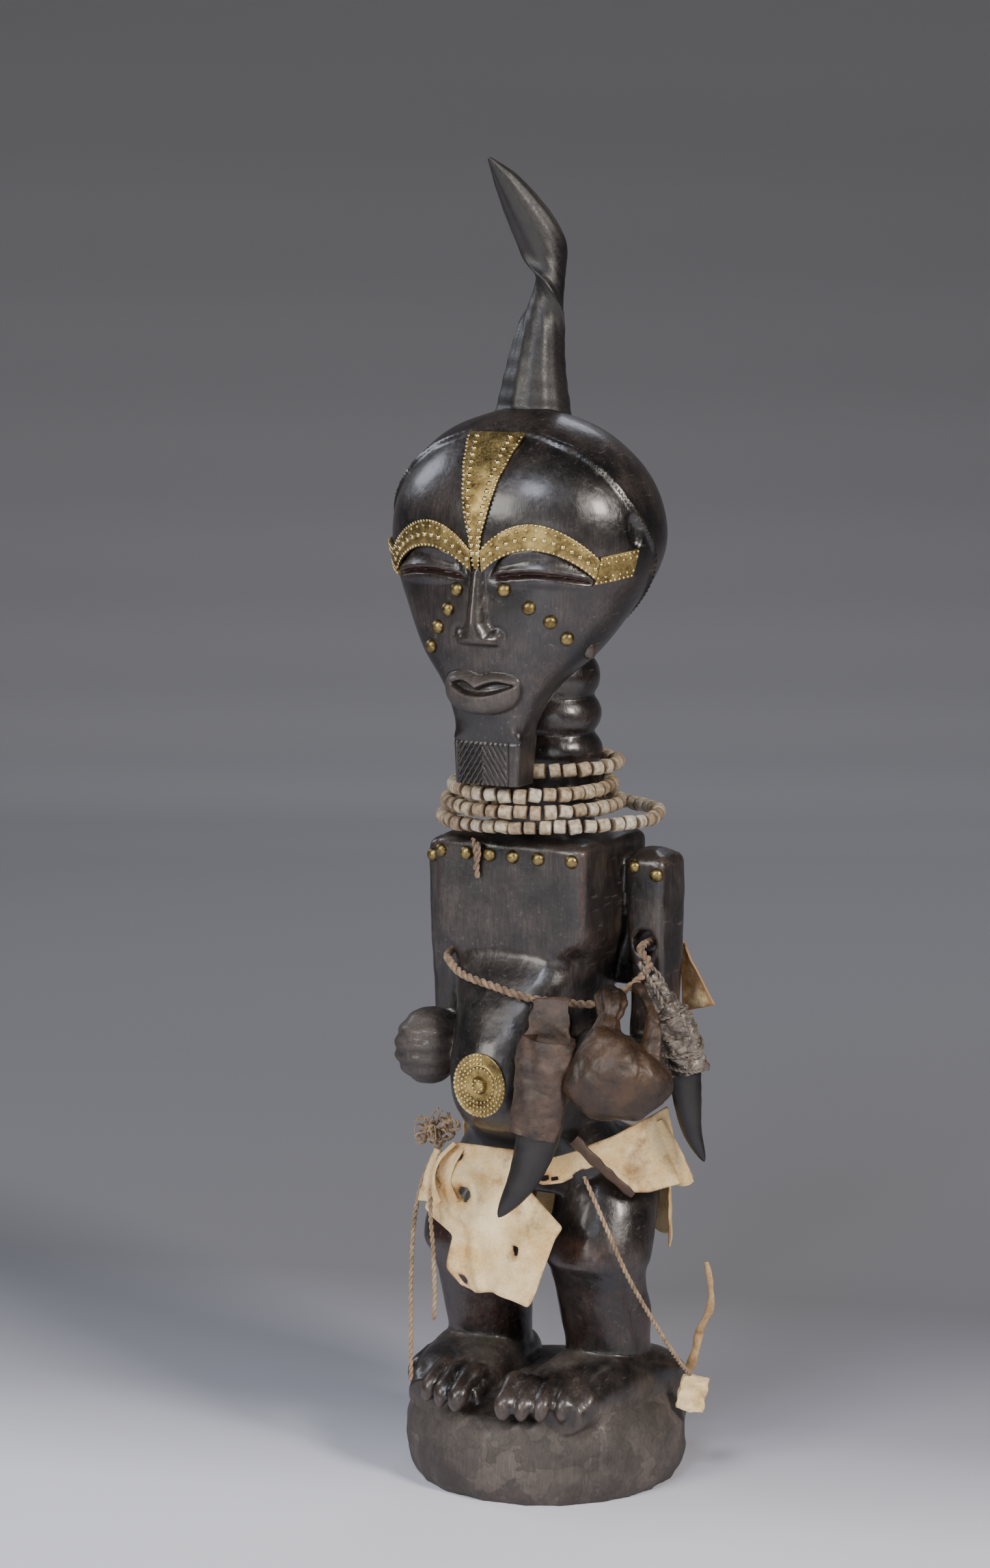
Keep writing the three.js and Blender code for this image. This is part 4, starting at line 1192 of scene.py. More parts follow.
def front_flap(u, v):
    x = np.interp(v, *FLAP_LEFT) * (1 - u) + np.interp(v, *FLAP_RIGHT) * u
    z = 213 + (np.interp(u, [0, 0.2, 0.5, 0.75, 0.95, 1], [131, 127, 129, 126, 121, 125]) - 213) * v
    y = -60 - 14 * math.sin(math.pi / 2 * v) - 4 * math.sin(math.pi * u) * v - 2 * math.sin(u * 9 + v * 2) * v
    away = math.hypot((x + 19) / 9, (z - 184) / 11)
    y -= 5.5 * math.exp(-(((away - 1) / 0.45) ** 2)) * (v < 0.8)
    fold = x + 13 + (z - 165) * 0.25
    y -= 3.0 * math.exp(-((fold / 3.5) ** 2)) * float(smoothstep(0.15, 0.35, v))
    y -= 3 * max(0.0, v - 0.75) * 4 * max(0, 0.3 - u)
    y -= 2.6 * math.sin(u * 15 + v * 3) * (1 - v) * v * 2.4 + 5 * (1 - u) ** 6 * math.sin(v * 9)
    return (x, y, z)


def side_panel(u, v):
    across = (-11 + 83 * u) * (1 - v) + (-11 + 101 * u) * v
    edge = ([0, 0.08, 0.2, 0.38, 0.5, 0.62, 0.72, 0.85, 1], [198, 193, 194, 203, 198, 187, 186, 188, 190])
    bottom = np.interp(u, *edge)
    top = 207 + 29 * u**1.5
    z = top + (bottom - top) * v
    out = (62 + 4 * v) * (1 - u) + (40 - 2 * v) * u + 5 * math.sin(u * 3)
    dish = math.exp(-(((u - 0.62) / 0.2) ** 2))
    out += dish * (-7 * math.sin(math.pi * min(1, v * 1.25)) + 5 * v**3)
    out -= 2.5 * math.exp(-(((u - 0.36) / 0.06) ** 2)) * v
    roll = max(0.0, u - 0.88) / 0.12
    out -= 9 * (1 - math.cos(roll * math.pi * 0.8)) * 0.5 * v
    across -= 9 * roll**2 * v
    return beside(across, out, z)


def back_panel(u, v):
    angle = math.pi * (0.62 + 0.76 * u)
    wave = 2.5 * math.sin(u * 22) * v
    z = 207 + (140 + 8 * math.sin(u * 7) + 3 * math.sin(u * 31) - 207) * v
    return ((77 + wave) * math.sin(angle), 2 - (57 + 3 * v + wave) * math.cos(angle), z)


def elbow_flap(u, v):
    x = 71 * (1 - u) + (76 + 20 * v) * u
    z = (332 - 6 * u) * (1 - v) + (284 + 8 * u) * v
    return (x, 34 + 5 * v + 3 * math.sin(u * 3 + v * 2), z)


# node, shape, faces across and down, what it rests on; then the stain and the holes, each with its
# place across and down, and how narrow it is both ways. A stain ends with its strength.
HIDES = [
    (
        "front_hide_flap", front_flap, (44, 52), "waist_rope", (0.75, 0.3, 9, 4, 0.5),
        [
            (0.34, 0.33, 16, 20), (0.12, 0.93, 28, 30), (0.2, 0.1, 40, 40), (0.7, 0.66, 26, 40),
            (0.02, 0.3, 12, 22),
        ],
    ),
    (
        "side_hide_panel", side_panel, (72, 30), "waist_rope", (0.64, 0.55, 7, 2.6, 0.75),
        [
            (0.09, 0.72, 26, 9), (0.16, 0.8, 40, 14), (0.05, 0.5, 60, 12), (0.3, 1.0, 24, 7),
            (0.97, 1.0, 26, 8),
        ],
    ),
    ("back_hide_panel", back_panel, (96, 36), "waist_rope", (0.5, 0, 1, 3, 0.3), []),
    ("elbow_hide_flap", elbow_flap, (20, 26), "carved_figure", (0.5, 0.5, 0.5, 0.5, 0.75), []),
]


def hide_tag():
    """The folded scrap of hide that the ankle cord ends in."""
    size = (16 * MM, 3.2 * MM, 21 * MM)
    tag = name_it(primitive("cube", size, (93, 15, 54.5), (0, 0.2, SIDE_TURN), size=1), "hide_tag_skin")
    return crumpled(edited(tag, ("subdivide", {"number_cuts": 12})), 2.4, 8, 5.0)


def band(name, points, wide, thick):
    """A strap that narrows towards its end."""

    def shape(t, a):
        share = 1 - 0.4 * t
        return wide * share * np.cos(a) * (1 + 0.15 * math.sin(t * 23)), thick * share * np.sin(a)

    return crumpled(sweep(name, smooth_line(points, 40), shape, around=14), 0.35, 5)


def rolled(name, points, radii, turn):
    """A lip of hide rolled into an open tube, wider towards its end."""

    def shape(t, a):
        reach = pick(radii, t)
        outer = a < math.pi
        theta = turn + np.where(outer, -2.4 + 4.8 * a / math.pi, 2.4 - 4.8 * (a - math.pi) / math.pi)
        radius = np.where(outer, reach, reach - 1.2) * (1 + 0.08 * np.sin(3 * theta + 5 * t))
        return radius * np.cos(theta), radius * np.sin(theta)

    return crumpled(sweep(name, smooth_line(points, 40), shape, around=64), 0.5, 7)


def waist_knot():
    """The knot of the waist rope: a tangle of thin cord in loops, with a few frayed fibres."""
    chance = np.random.default_rng(8)
    middle = np.array((-48.0, -51.0, 217.5))
    tangle = []
    for _ in range(9):
        centre = middle + chance.normal(0, 1, 3) * (4.5, 4, 4)
        across, up = unit(chance.normal(0, 1, (2, 3)))
        reach, turns = chance.uniform(3.5, 6.5), chance.uniform(0.7, 1.3)
        t = np.linspace(0, turns * 2 * math.pi, 14)[:, None]
        line = centre + across * reach * np.cos(t) + up * reach * np.sin(t) * 0.8
        line = line + chance.normal(0, 0.4, (14, 3))
        tangle.append(plied("loop", smooth_line(line, 46), chance.uniform(0.9, 1.5), 5))
    for _ in range(26):
        start = middle + chance.normal(0, 1, 3) * (4, 4, 5)
        push = unit(chance.normal(0, 1, 3) * (1, 0.6, 0.7) + (-0.4, -0.3, -0.9))
        bend = chance.normal(0, 2.4, 3)
        reach = chance.uniform(5, 13)
        line = smooth_line([start, start + push * reach * 0.5 + bend, start + push * reach], 12)
        tangle.append(round_bar("fibre", line, 0.5, 5))
    return joined("waist_knot_fibre", tangle)


# Cords: their routes are those of the CAD solids

ANKLE_CORD = [(62, -70, 205), (72, -66, 180), (82, -54, 145), (90, -32, 110), (92, -6, 82), (92, 12, 67)]
LONG_CORD = [
    (-46, -42, 211), (-52, -54, 196), (-55, -65, 170), (-56, -69, 135), (-56, -70, 98), (-56, -70, 64)
]
SHORT_CORD = [(-37, -68, 206), (-38, -77, 180), (-34, -81, 150), (-32, -83, 128), (-33, -82, 108)]


def loose_cord(name, points, far_end, lay, **more):
    """A thin two-ply cord along its route."""
    radius = sizes().cord_radius / MM
    route = smooth_line(points, 24)
    cord = plied(name + "_fibre", smooth_line(points, int(line_length(route))), radius, 8, fray=0.1)
    settle(cord, dry_fibre(), "rope", name, smooth=60)
    return cord


# Materials. Each starts from what the real stuff is, and its patterns from a size in millimetres.


def add(tree, kind, inputs=None, out=0, stops=None, **settings):
    """Adds a node with its settings, its inputs (a value, or a socket to link) and a ramp's stops.

    Returns one of its outputs, or the node itself where out is None.
    """
    made = tree.nodes.new("ShaderNode" + kind)
    for key, value in settings.items():
        setattr(made, key, value)
    for key, value in (inputs or {}).items():
        if isinstance(value, bpy.types.NodeSocket):
            tree.links.new(value, made.inputs[key])
        else:
            made.inputs[key].default_value = value
    if stops:
        ramp = made.color_ramp.elements
        while len(ramp) < len(stops):
            ramp.new(0.5)
        for element, (at, shade) in zip(ramp, stops):
            element.position = at
            element.color = shade
    return made if out is None else made.outputs[out]


def per_mm(size):
    """The noise scale whose blobs are about this many millimetres across."""
    return 1000 / size


def surface(name, build):
    """A material of this name, made once. build fills its tree and gives the shader's inputs."""
    if name in bpy.data.materials:
        return bpy.data.materials[name]
    made = bpy.data.materials.new(name)
    made.use_nodes = True
    made.node_tree.nodes.clear()
    node = partial(add, made.node_tree)
    shader = node("BsdfPrincipled", build(node, node("TexCoord", out="Object")))
    node("OutputMaterial", {"Surface": shader}, out=None)
    return made


def grey(value):
    return (value, value, value, 1.0)


def carved_wood():
    """Dense dark hardwood, carved with an adze and knife, oiled and handled for years.

    The eye sees a near-black gloss with fine scratches, red-brown where it is rubbed bare, and a
    dusted grey on the base, which is also laid thinly on the upper chest front as a painted sheen.
    """
    use = colours()

    def build(node, place):
        edge, dust_and_sheen, rubbed = (
            node("Attribute", out="Fac", attribute_name=name) for name in ("worn", "dust_and_sheen", "rubbed")
        )
        upright = node("Mapping", {"Vector": place, "Scale": (1.0, 1.0, 0.09)})
        slanted = node("Mapping", {"Vector": place, "Rotation": (0.5, 0.9, 0.3), "Scale": (1.0, 0.12, 1.0)})
        # where each noise is read, the size of its blobs, its detail and its roughness
        noises = [
            (place, 34, 5, 0.62),
            (place, 18, 4, 0.6),
            (upright, 1.1, 5, 0.65),
            (place, 4, 6, 0.7),
            (slanted, 2.4, 3, 0.6),
            (place, 9, 2, 0.5),
        ]
        broad, clouds, grain, speck, nicks, facets = (
            node("TexNoise", {"Vector": where, "Scale": per_mm(size), "Detail": detail, "Roughness": rough})
            for where, size, detail, rough in noises
        )

        # the adze's blows, as cells with bent edges
        swirl = node("TexNoise", {"Vector": place, "Scale": per_mm(12)}, out="Color")
        warped = node("Mix", {0: 0.025, 4: place, 5: swirl}, out=1, data_type="VECTOR")
        cells = {"Vector": warped, "Scale": per_mm(17)}
        blows = node("TexVoronoi", cells, out=None)
        rims = node("TexVoronoi", cells, out="Distance", feature="DISTANCE_TO_EDGE")
        tone = node("SeparateColor", {"Color": blows.outputs["Color"]})

        # what each ramp reads, where it starts and ends, and the greys it runs between
        ramps = [
            (broad, 0.4, 0.7, 0, 1),
            (grain, 0.38, 0.64, 0.5, 1.5),
            (nicks, 0.62, 0.7, 0, 0.55),
            (clouds, 0.36, 0.62, 0.5, 1.2),
            (broad, 0.4, 0.62, 0.25, 1),
            (grain, 0.36, 0.66, 0.6, 1.3),
            (tone, 0.1, 0.9, 0.6, 1.15),
            (rims, 0, 0.06, 0.3, 0),
        ]
        pale, streaks, scratches, mist, drifts, ridges, blow_tone, blow_rims = (
            node("ValToRGB", {"Fac": value}, stops=[(low, grey(dark)), (high, grey(light))])
            for value, low, high, dark, light in ramps
        )
        edge_specks = node("Math", {0: edge, 1: speck}, operation="MULTIPLY")
        rubbed_specks = node("Math", {0: rubbed, 1: speck}, operation="MULTIPLY")
        dust_and_sheen_specks = node("Math", {0: speck, 1: 0.7, 2: dust_and_sheen}, operation="MULTIPLY_ADD")
        ranges = [(edge_specks, 0.1, 0.5), (rubbed_specks, 0.12, 0.5), (dust_and_sheen_specks, 0.45, 1.35)]
        lighter, bare, dust_and_sheen_share = (
            node("MapRange", {"Value": value, "From Min": low, "From Max": high})
            for value, low, high in ranges
        )
        faint = node("Math", {0: lighter, 1: 0.6}, operation="MULTIPLY")

        # the grey dusted layer: real on the base and feet, and a painted sheen where it is laid thinly on the
        # upper chest front
        dust_and_sheen_colour = linear("#3d3732")
        for amount, over, blend in (
            (drifts, use.dust_and_sheen_wood, "MIX"),
            (0.5, ridges, "MULTIPLY"),
            (0.8, blow_tone, "MULTIPLY"),
            (blow_rims, linear("#2a2220"), "MIX"),
        ):
            dust_and_sheen_colour = node("Mix", {0: amount, 6: dust_and_sheen_colour, 7: over}, out=2, data_type="RGBA", blend_type=blend)
        colour = use.wood
        for amount, over, blend in (
            (pale, linear("#39302b"), "MIX"),
            (0.9, streaks, "MULTIPLY"),
            (scratches, linear("#57504a"), "MIX"),
            (0.9, mist, "MULTIPLY"),
            (faint, linear("#5b4a40"), "MIX"),
            (bare, use.worn_wood, "MIX"),
            (dust_and_sheen_share, dust_and_sheen_colour, "MIX"),
        ):
            colour = node("Mix", {0: amount, 6: colour, 7: over}, out=2, data_type="RGBA", blend_type=blend)

        spread = {"Value": broad, "From Min": 0.3, "From Max": 0.75, "To Min": 0.17, "To Max": 0.36}
        matt = node("Math", {0: speck, 1: 0.16, 2: node("MapRange", spread)}, operation="MULTIPLY_ADD")
        matt = node("Math", {0: dust_and_sheen_share, 1: 0.42, 2: matt}, operation="MULTIPLY_ADD", use_clamp=True)
        coat = node("Math", {0: dust_and_sheen_share, 1: -0.3, 2: 0.32}, operation="MULTIPLY_ADD", use_clamp=True)
        dents = node("Math", {0: dust_and_sheen_share, 1: blows.outputs["Distance"]}, operation="MULTIPLY")
        height = facets
        for value, weight in ((speck, 0.25), (grain, 0.22), (dents, -2.2)):
            height = node("Math", {0: value, 1: weight, 2: height}, operation="MULTIPLY_ADD")
        return {
            "Base Color": colour,
            "Roughness": matt,
            "Normal": node("Bump", {"Height": height, "Strength": 0.6, "Distance": 0.9 * MM}),
            "IOR": 1.5,
            "Coat Weight": coat,
            "Coat Roughness": 0.16,
        }

    return surface("oiled_carved_hardwood", build)


def mottled(name, dark, light, blotch, fine, rough, bump_mm, coat=0.0, metal=0.0, tone=None, sheen=0.0):
    """A stuff whose colour runs between two shades in blotches, with a fine bumpy surface.

    dark and light are hex values or colours of the panel. tone may change the colour that comes out.
    """

    def build(node, place):
        big, small = (
            node("TexNoise", {"Vector": place, "Scale": per_mm(size), "Detail": 5.0, "Roughness": roughness})
            for size, roughness in ((blotch, 0.6), (fine, 0.65))
        )
        mixed = node("Math", {0: small, 1: 0.45, 2: big}, operation="MULTIPLY_ADD")
        shades = [linear(shade) if isinstance(shade, str) else shade for shade in (dark, light)]
        colour = node("ValToRGB", {"Fac": mixed}, stops=list(zip((0.5, 0.95), shades)))
        if tone:
            colour = tone(node, place, colour, small)
        spread = {"Value": small, "From Min": 0.3, "From Max": 0.7, "To Min": rough[0], "To Max": rough[1]}
        return {
            "Base Color": colour,
            "Roughness": node("MapRange", spread),
            "Normal": node("Bump", {"Height": mixed, "Strength": 0.7, "Distance": bump_mm * MM}),
            "Metallic": metal,
            "Coat Weight": coat,
            "Coat Roughness": 0.25,
            "Sheen Weight": sheen,
        }

    return surface(name, build)


def old_brass():
    """Cold-worked brass sheet and tacks, cleaned on the raised parts and brown with tarnish between."""
    return mottled("tarnished_brass_sheet", "#43351d", colours().brass, 9, 1.3, (0.34, 0.6), 0.3, metal=1.0)


def bright_brass():
    """Domed brass tacks, rubbed bright."""
    return mottled("rubbed_brass_tack", "#a58d58", "#e6d6a6", 9, 2, (0.2, 0.34), 0.05, metal=1.0)


def dull_brass():
    """Heads of the big domed tacks, brown with oil and only rubbed on top."""
    return mottled("oiled_brass_nail", "#4a3d27", "#a3915f", 5, 1.5, (0.28, 0.5), 0.15, metal=1.0)


def dark_horn():
    """Antelope horn, grown in fine lengthwise layers, with a dull polish."""
    return mottled("polished_dark_horn", colours().horn, "#2b2725", 26, 1.6, (0.34, 0.56), 0.35)


def fibre_rope():
    """Raffia and bark fibre, laid by hand: matt, hairy, tan where it is rubbed."""
    return mottled("laid_plant_fibre", "#45352a", colours().rope, 6, 0.7, (0.75, 0.95), 0.4, sheen=0.15)


def dry_fibre():
    """Paler raffia that has seen less oil."""
    return mottled("dry_plant_fibre", "#6f5a45", "#b89d7c", 8, 0.7, (0.75, 0.95), 0.35, sheen=0.1)


def pouch_leather():
    """Oiled goat skin dried over its filling: brown, rubbed lighter on the swell, soft gloss."""
    return mottled("oiled_goat_skin", "#150f0a", colours().leather, 22, 1.6, (0.38, 0.62), 0.6, coat=0.05)


def sheath_leather():
    """Scraped skin with its hair side worn grey-brown."""
    return mottled("scraped_brown_skin", "#1e1612", "#574438", 11, 1.0, (0.42, 0.66), 0.5)


def wrap_skin():
    """Thin skin twisted wet and dried hard: grey-brown with a glassy shine on its folds."""
    return mottled("twisted_grey_skin", "#251f1b", "#94877a", 9, 1.2, (0.24, 0.5), 0.5, coat=0.25)


def raw_hide():
    """Dried raw hide, cream where clean, amber where thick and browned where it was tied."""

    def stains(node, place, colour, _):
        cloud = node("TexNoise", {"Vector": place, "Scale": per_mm(22), "Detail": 6.0, "Roughness": 0.7})
        for name, weight in (("rim", 0.17), ("stain", 0.25)):
            stored = node("Attribute", out="Fac", attribute_name=name)
            cloud = node("Math", {0: stored, 1: weight, 2: cloud}, operation="MULTIPLY_ADD")
        amount = node("ValToRGB", {"Fac": cloud}, stops=[(0.56, grey(0)), (0.74, grey(0.85))])
        return node("Mix", {0: amount, 6: colour, 7: linear("#8a5f38")}, out=2, data_type="RGBA")

    return mottled("dried_raw_hide", "#c99f5f", colours().hide, 20, 1.5, (0.42, 0.62), 0.35, tone=stains)


def sinew():
    """A dried strip of skin, brown where it was tied and pale at its stiff end."""
    return mottled("dried_skin_strip", "#6b4a30", "#cfae7e", 14, 1.2, (0.5, 0.75), 0.3)


def old_bead():
    """Ground shell and fired clay beads, off-white to tan, soiled in the pores and darkened towards their
    ends by soiling and by painted shade where they meet; the thread is dark.
    """
    dark, tan, pale = linear("#9c8058"), linear("#c8b088"), linear("#efe6cf")
    clays = [(0.0, dark), (0.3, tan), (0.65, colours().bead), (1.0, pale)]

    def by_bead(node, _, colour, small):
        tone, ends = (node("Attribute", out="Fac", attribute_name=name) for name in ("tone", "end_grime_and_shade"))
        tint = node("ValToRGB", {"Fac": tone}, stops=clays)
        # soiling, and painted shade where the beads meet, darken each bead towards its ends
        reach = node("Math", {0: small, 1: 0.5, 2: ends}, operation="MULTIPLY_ADD")
        end_grime_and_shade_share = node("MapRange", {"Value": reach, "From Min": 0.9, "From Max": 1.25, "To Max": 0.9})
        is_thread = node("Math", {0: tone, 1: -0.5}, operation="LESS_THAN")
        for amount, over, blend in (
            (0.85, tint, "MULTIPLY"),
            (end_grime_and_shade_share, linear("#4c3823"), "MIX"),
            (is_thread, linear("#2a1d14"), "MIX"),
        ):
            colour = node("Mix", {0: amount, 6: colour, 7: over}, out=2, data_type="RGBA", blend_type=blend)
        return colour

    return mottled("ground_shell_bead", "#8f7a5c", "#ffffff", 3, 0.7, (0.5, 0.75), 0.2, tone=by_bead)


def paint_figure(obj):
    """Stores where the wood is worn, dusted (a painted sheen on the upper chest front) or rubbed red."""
    x, y, z = points_of(obj).T
    edges = worn(obj)
    dusty_base = smoothstep(64, 55, z) * (1 - 0.8 * smoothstep(46, 52, z) * smoothstep(-52, -60, y))
    level = smoothstep(0.3, 0.9, normals_of(obj)[:, 2])
    feet = 0.6 * smoothstep(100, 78, z) * level * smoothstep(66, 50, np.hypot(x, y))
    hollow = 0.5 * np.clip(-edges, 0, 1)
    # painted sheen: the upper chest front gets a share of the grey dusted layer, standing in for the broad
    # soft reflection on it
    chest = 0.22 * smoothstep(330, 350, z) * smoothstep(400, 385, z) * smoothstep(-44, -49, y)
    fists = 0.55 * smoothstep(28, 24, np.hypot(np.abs(x) - 58, y + 42))
    fists *= smoothstep(238, 245, z) * smoothstep(295, 288, z)
    beside_slit = np.exp(-(((z - slit_height(x) + 0.5) / 2.8) ** 2))
    rims = beside_slit * (np.abs(np.abs(x) - EYE_MIDDLE) < 27) * (y < -60)
    lip = smoothstep(0, 0.2, mouth_reach(x, z)) * (y < -78) * (z < 505)
    lip = lip * smoothstep(0.2, -0.8, mouth_opening(x, z))
    knees = np.exp(-(((z - 150) / 16) ** 2)) * smoothstep(-30, -40, y) * 0.4
    knees += 0.3 * smoothstep(140, 120, z) * smoothstep(78, 88, z)
    knees += 0.12 * smoothstep(86, 76, z) * smoothstep(48, 56, z) * smoothstep(-40, -56, y)
    corner = np.exp(-((np.hypot(np.abs(x) - 51.5, y + 51.5) / 4) ** 2))
    corner *= smoothstep(330, 345, z) * smoothstep(398, 392, z)
    give_tone(obj, "dust_and_sheen", np.clip(dusty_base * 0.95 + feet + hollow + chest + fists + 0.6 * lip, 0, 1))
    give_tone(obj, "worn", np.clip(edges, 0, 1))
    give_tone(obj, "rubbed", np.clip(rims * 0.5 + lip * 0.2 + knees + corner, 0, 1))


# The stage

CAMERA_LENS = 89.94  # millimetres, on a sensor 36 mm wide
CAMERA_PLACE = (1.09387, -2.05727, 0.78)
CAMERA_AIM = Vector((-0.47596, 0.86642, -0.15092))
# name, place, what it is aimed at, watts, side in metres, and colour
LIGHTS = [
    ("key", (2.3, -0.9, 1.75), (0, 0, 0.45), 70, 0.55, "#fff7ee"),
    ("front", (-0.8, -2.9, 1.6), (0, 0, 0.35), 56, 1.1, "#fffaf2"),
    ("low_front", (0.9, -2.6, 0.5), (0, 0, 0.2), 8, 0.9, "#ffffff"),
    ("floor", (0.3, -1.9, 2.1), (0.3, -0.9, 0), 24, 0.6, "#e6edff"),
    ("rim", (-1.9, 0.1, 1.5), (0, 0, 0.5), 10, 0.7, "#eef3ff"),
    ("behind", (-0.5, 2.2, 2.3), (0, 0, 0.5), 7, 0.8, "#eef3ff"),
]
PAPER_SIDE = Vector((BACKWARDS.y, -BACKWARDS.x, 0))
# metres of paper from the figure, away from the camera, and the paper's shade there, which paints the light:
# pale where the lamps light the floor near the figure, darker a little way behind, lighter again far off to
# make up for the lamps' fall-off
PAPER_TONES = [
    (-0.1, "#ecedf8"), (0.1, "#a8a8b2"), (0.4, "#808085"), (1.1, "#8c8c91"), (2.5, "#b0b0b6"),
    (3.5, "#a8a8ae"), (5.0, "#949499"),
]


def painted_light_paper():
    """Matt studio paper whose colour paints the fall of light, from a pale floor near the figure to a grey
    wall.
    """
    first, last = -1.0, 6.5

    def build(node, place):
        # the length of paper from the figure, along the floor and up the wall
        along = tuple(BACKWARDS + 0.25 * PAPER_SIDE + Vector((0, 0, 1)))
        away = node("VectorMath", {0: place, 1: along}, out="Value", operation="DOT_PRODUCT")
        share = node("MapRange", {"Value": away, "From Min": first, "From Max": last})
        stops = [((metres - first) / (last - first), linear(code)) for metres, code in PAPER_TONES]
        return {"Base Color": node("ValToRGB", {0: share}, stops=stops), "Roughness": 0.9}

    return surface("studio_paper_painted_light", build)


def area_light(name, place, aim, power, size, colour):
    bpy.ops.object.light_add(type="AREA", location=place)
    light = bpy.context.object
    light.name = name
    light.data.energy = power
    light.data.size = size
    light.data.color = linear(colour)[:3]
    light.rotation_euler = (Vector(aim) - Vector(place)).to_track_quat("-Z", "Y").to_euler()


# Operators


class Maker:
    """What the operators share."""

    bl_options = {"REGISTER", "UNDO"}


class FIGURE_OT_camera(Maker, bpy.types.Operator):
    """Place the camera at the photograph's angle"""

    bl_idname = "figure.camera"
    bl_label = "Camera"

    def execute(self, context):
        data = bpy.data.cameras.new("camera")
        data.lens = CAMERA_LENS
        data.sensor_width = 36
        camera = bpy.data.objects.new("camera", data)
        context.scene.collection.objects.link(camera)
        camera.location = CAMERA_PLACE
        camera.rotation_mode = "QUATERNION"
        camera.rotation_quaternion = CAMERA_AIM.to_track_quat("-Z", "Y")
        context.scene.camera = camera
        return {"FINISHED"}


class FIGURE_OT_cords(Maker, bpy.types.Operator):
    """Make the loose cords and the scrap of hide that one of them ends in"""

    bl_idname = "figure.cords"
    bl_label = "Loose cords"

    def execute(self, context):
        tag = settle(hide_tag(), raw_hide(), "hide", "hide_tag")
        loose_cord("ankle_cord", ANKLE_CORD, "object", "taut", with_pieces=[tag])
        loose_cord("long_loose_cord", LONG_CORD, "bare", "hanging")
        loose_cord("short_loose_cord", SHORT_CORD, "bare", "hanging")
        return {"FINISHED"}


class FIGURE_OT_carving(Maker, bpy.types.Operator):
    """Carve the figure with its base out of one piece of wood"""

    bl_idname = "figure.carving"
    bl_label = "Carved figure"

    def execute(self, context):
        figure = joined("carved_figure_wood", [carve_body(), head()])
        paint_figure(figure)
        settle(figure, carved_wood(), "wood", "carved_figure", smooth=0)
        bpy.ops.object.shade_smooth()
        return {"FINISHED"}


class FIGURE_OT_crown_horn(Maker, bpy.types.Operator):
    """Set the twisted antelope horn in the crown"""

    bl_idname = "figure.crown_horn"
    bl_label = "Crown horn"

    def execute(self, context):
        settle(crown_horn(), dark_horn(), "horn", "crown_horn", smooth=60)
        return {"FINISHED"}


class FIGURE_OT_brass(Maker, bpy.types.Operator):
    """Lay the brass strips on the head and nail down their edges"""

    bl_idname = "figure.brass"
    bl_label = "Brass strips"

    def execute(self, context):
        sheet = brass_sheet("forehead_strip_brass", forehead_place, 60)
        settle(sheet, old_brass(), "brass", "forehead_strip")
        large = row(forehead_place, -0.6, 4.2, 0.12) + row(forehead_place, 0.6, 4.2, 0.12)
        fine = row(forehead_place, -0.96, 2.7, lift=1.9) + row(forehead_place, 0.96, 2.7, lift=1.9)
        for label, side in (("left", 1), ("right", -1)):
            brow, temple = brow_place(side), temple_place(side)
            for kind, place, steps in (("brow", brow, 60), ("temple", temple, 24)):
                sheet = brass_sheet(f"{kind}_strip_{label}_brass", place, steps)
                settle(sheet, old_brass(), "brass", f"{kind}_strip_{label}")
            large += row(brow, -0.12, 5.6)
            fine += row(brow, 0.93, 2.5, lift=2.0) + row(brow, 0.55, 5.6, first=0.1, last=0.9)
            fine += row(brow, -0.9, 2.9, lift=2.0)
            fine += row(temple, 0.86, 2.6) + row(temple, -0.86, 2.6)
            fine += row(temple, 0.5, 4) + row(temple, -0.5, 4)
        settle(copies("strip_tacks", stud(1.7), large), bright_brass(), "brass", smooth=60)
        settle(copies("strip_pins", stud(1.05, 6, 3), fine), bright_brass(), "brass", smooth=60)
        return {"FINISHED"}


class FIGURE_OT_nails(Maker, bpy.types.Operator):
    """Drive the domed nails into cheeks, chest and arms"""

    bl_idname = "figure.nails"
    bl_label = "Domed nails"

    def execute(self, context):
        radius = sizes().nail_radius / MM
        groups = {}
        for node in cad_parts:
            if "_nail_" in node:
                groups.setdefault(node.rsplit("_", 1)[0], []).append(node)
        for group, nodes in groups.items():
            spots = [node_place(node) for node in nodes]
            nails = copies(group.replace("nail", "nails"), stud(radius, 28, 9), spots)
            settle(nails, dull_brass(), "brass", *nodes, smooth=50)
        return {"FINISHED"}


class FIGURE_OT_disc(Maker, bpy.types.Operator):
    """Turn the brass disc with its boss for the navel"""

    bl_idname = "figure.disc"
    bl_label = "Belly disc"

    def execute(self, context):
        disc, dots = belly_disc()
        settle(disc, old_brass(), "brass", "belly_disc", smooth=30)
        settle(dots, bright_brass(), "brass", smooth=60)
        return {"FINISHED"}


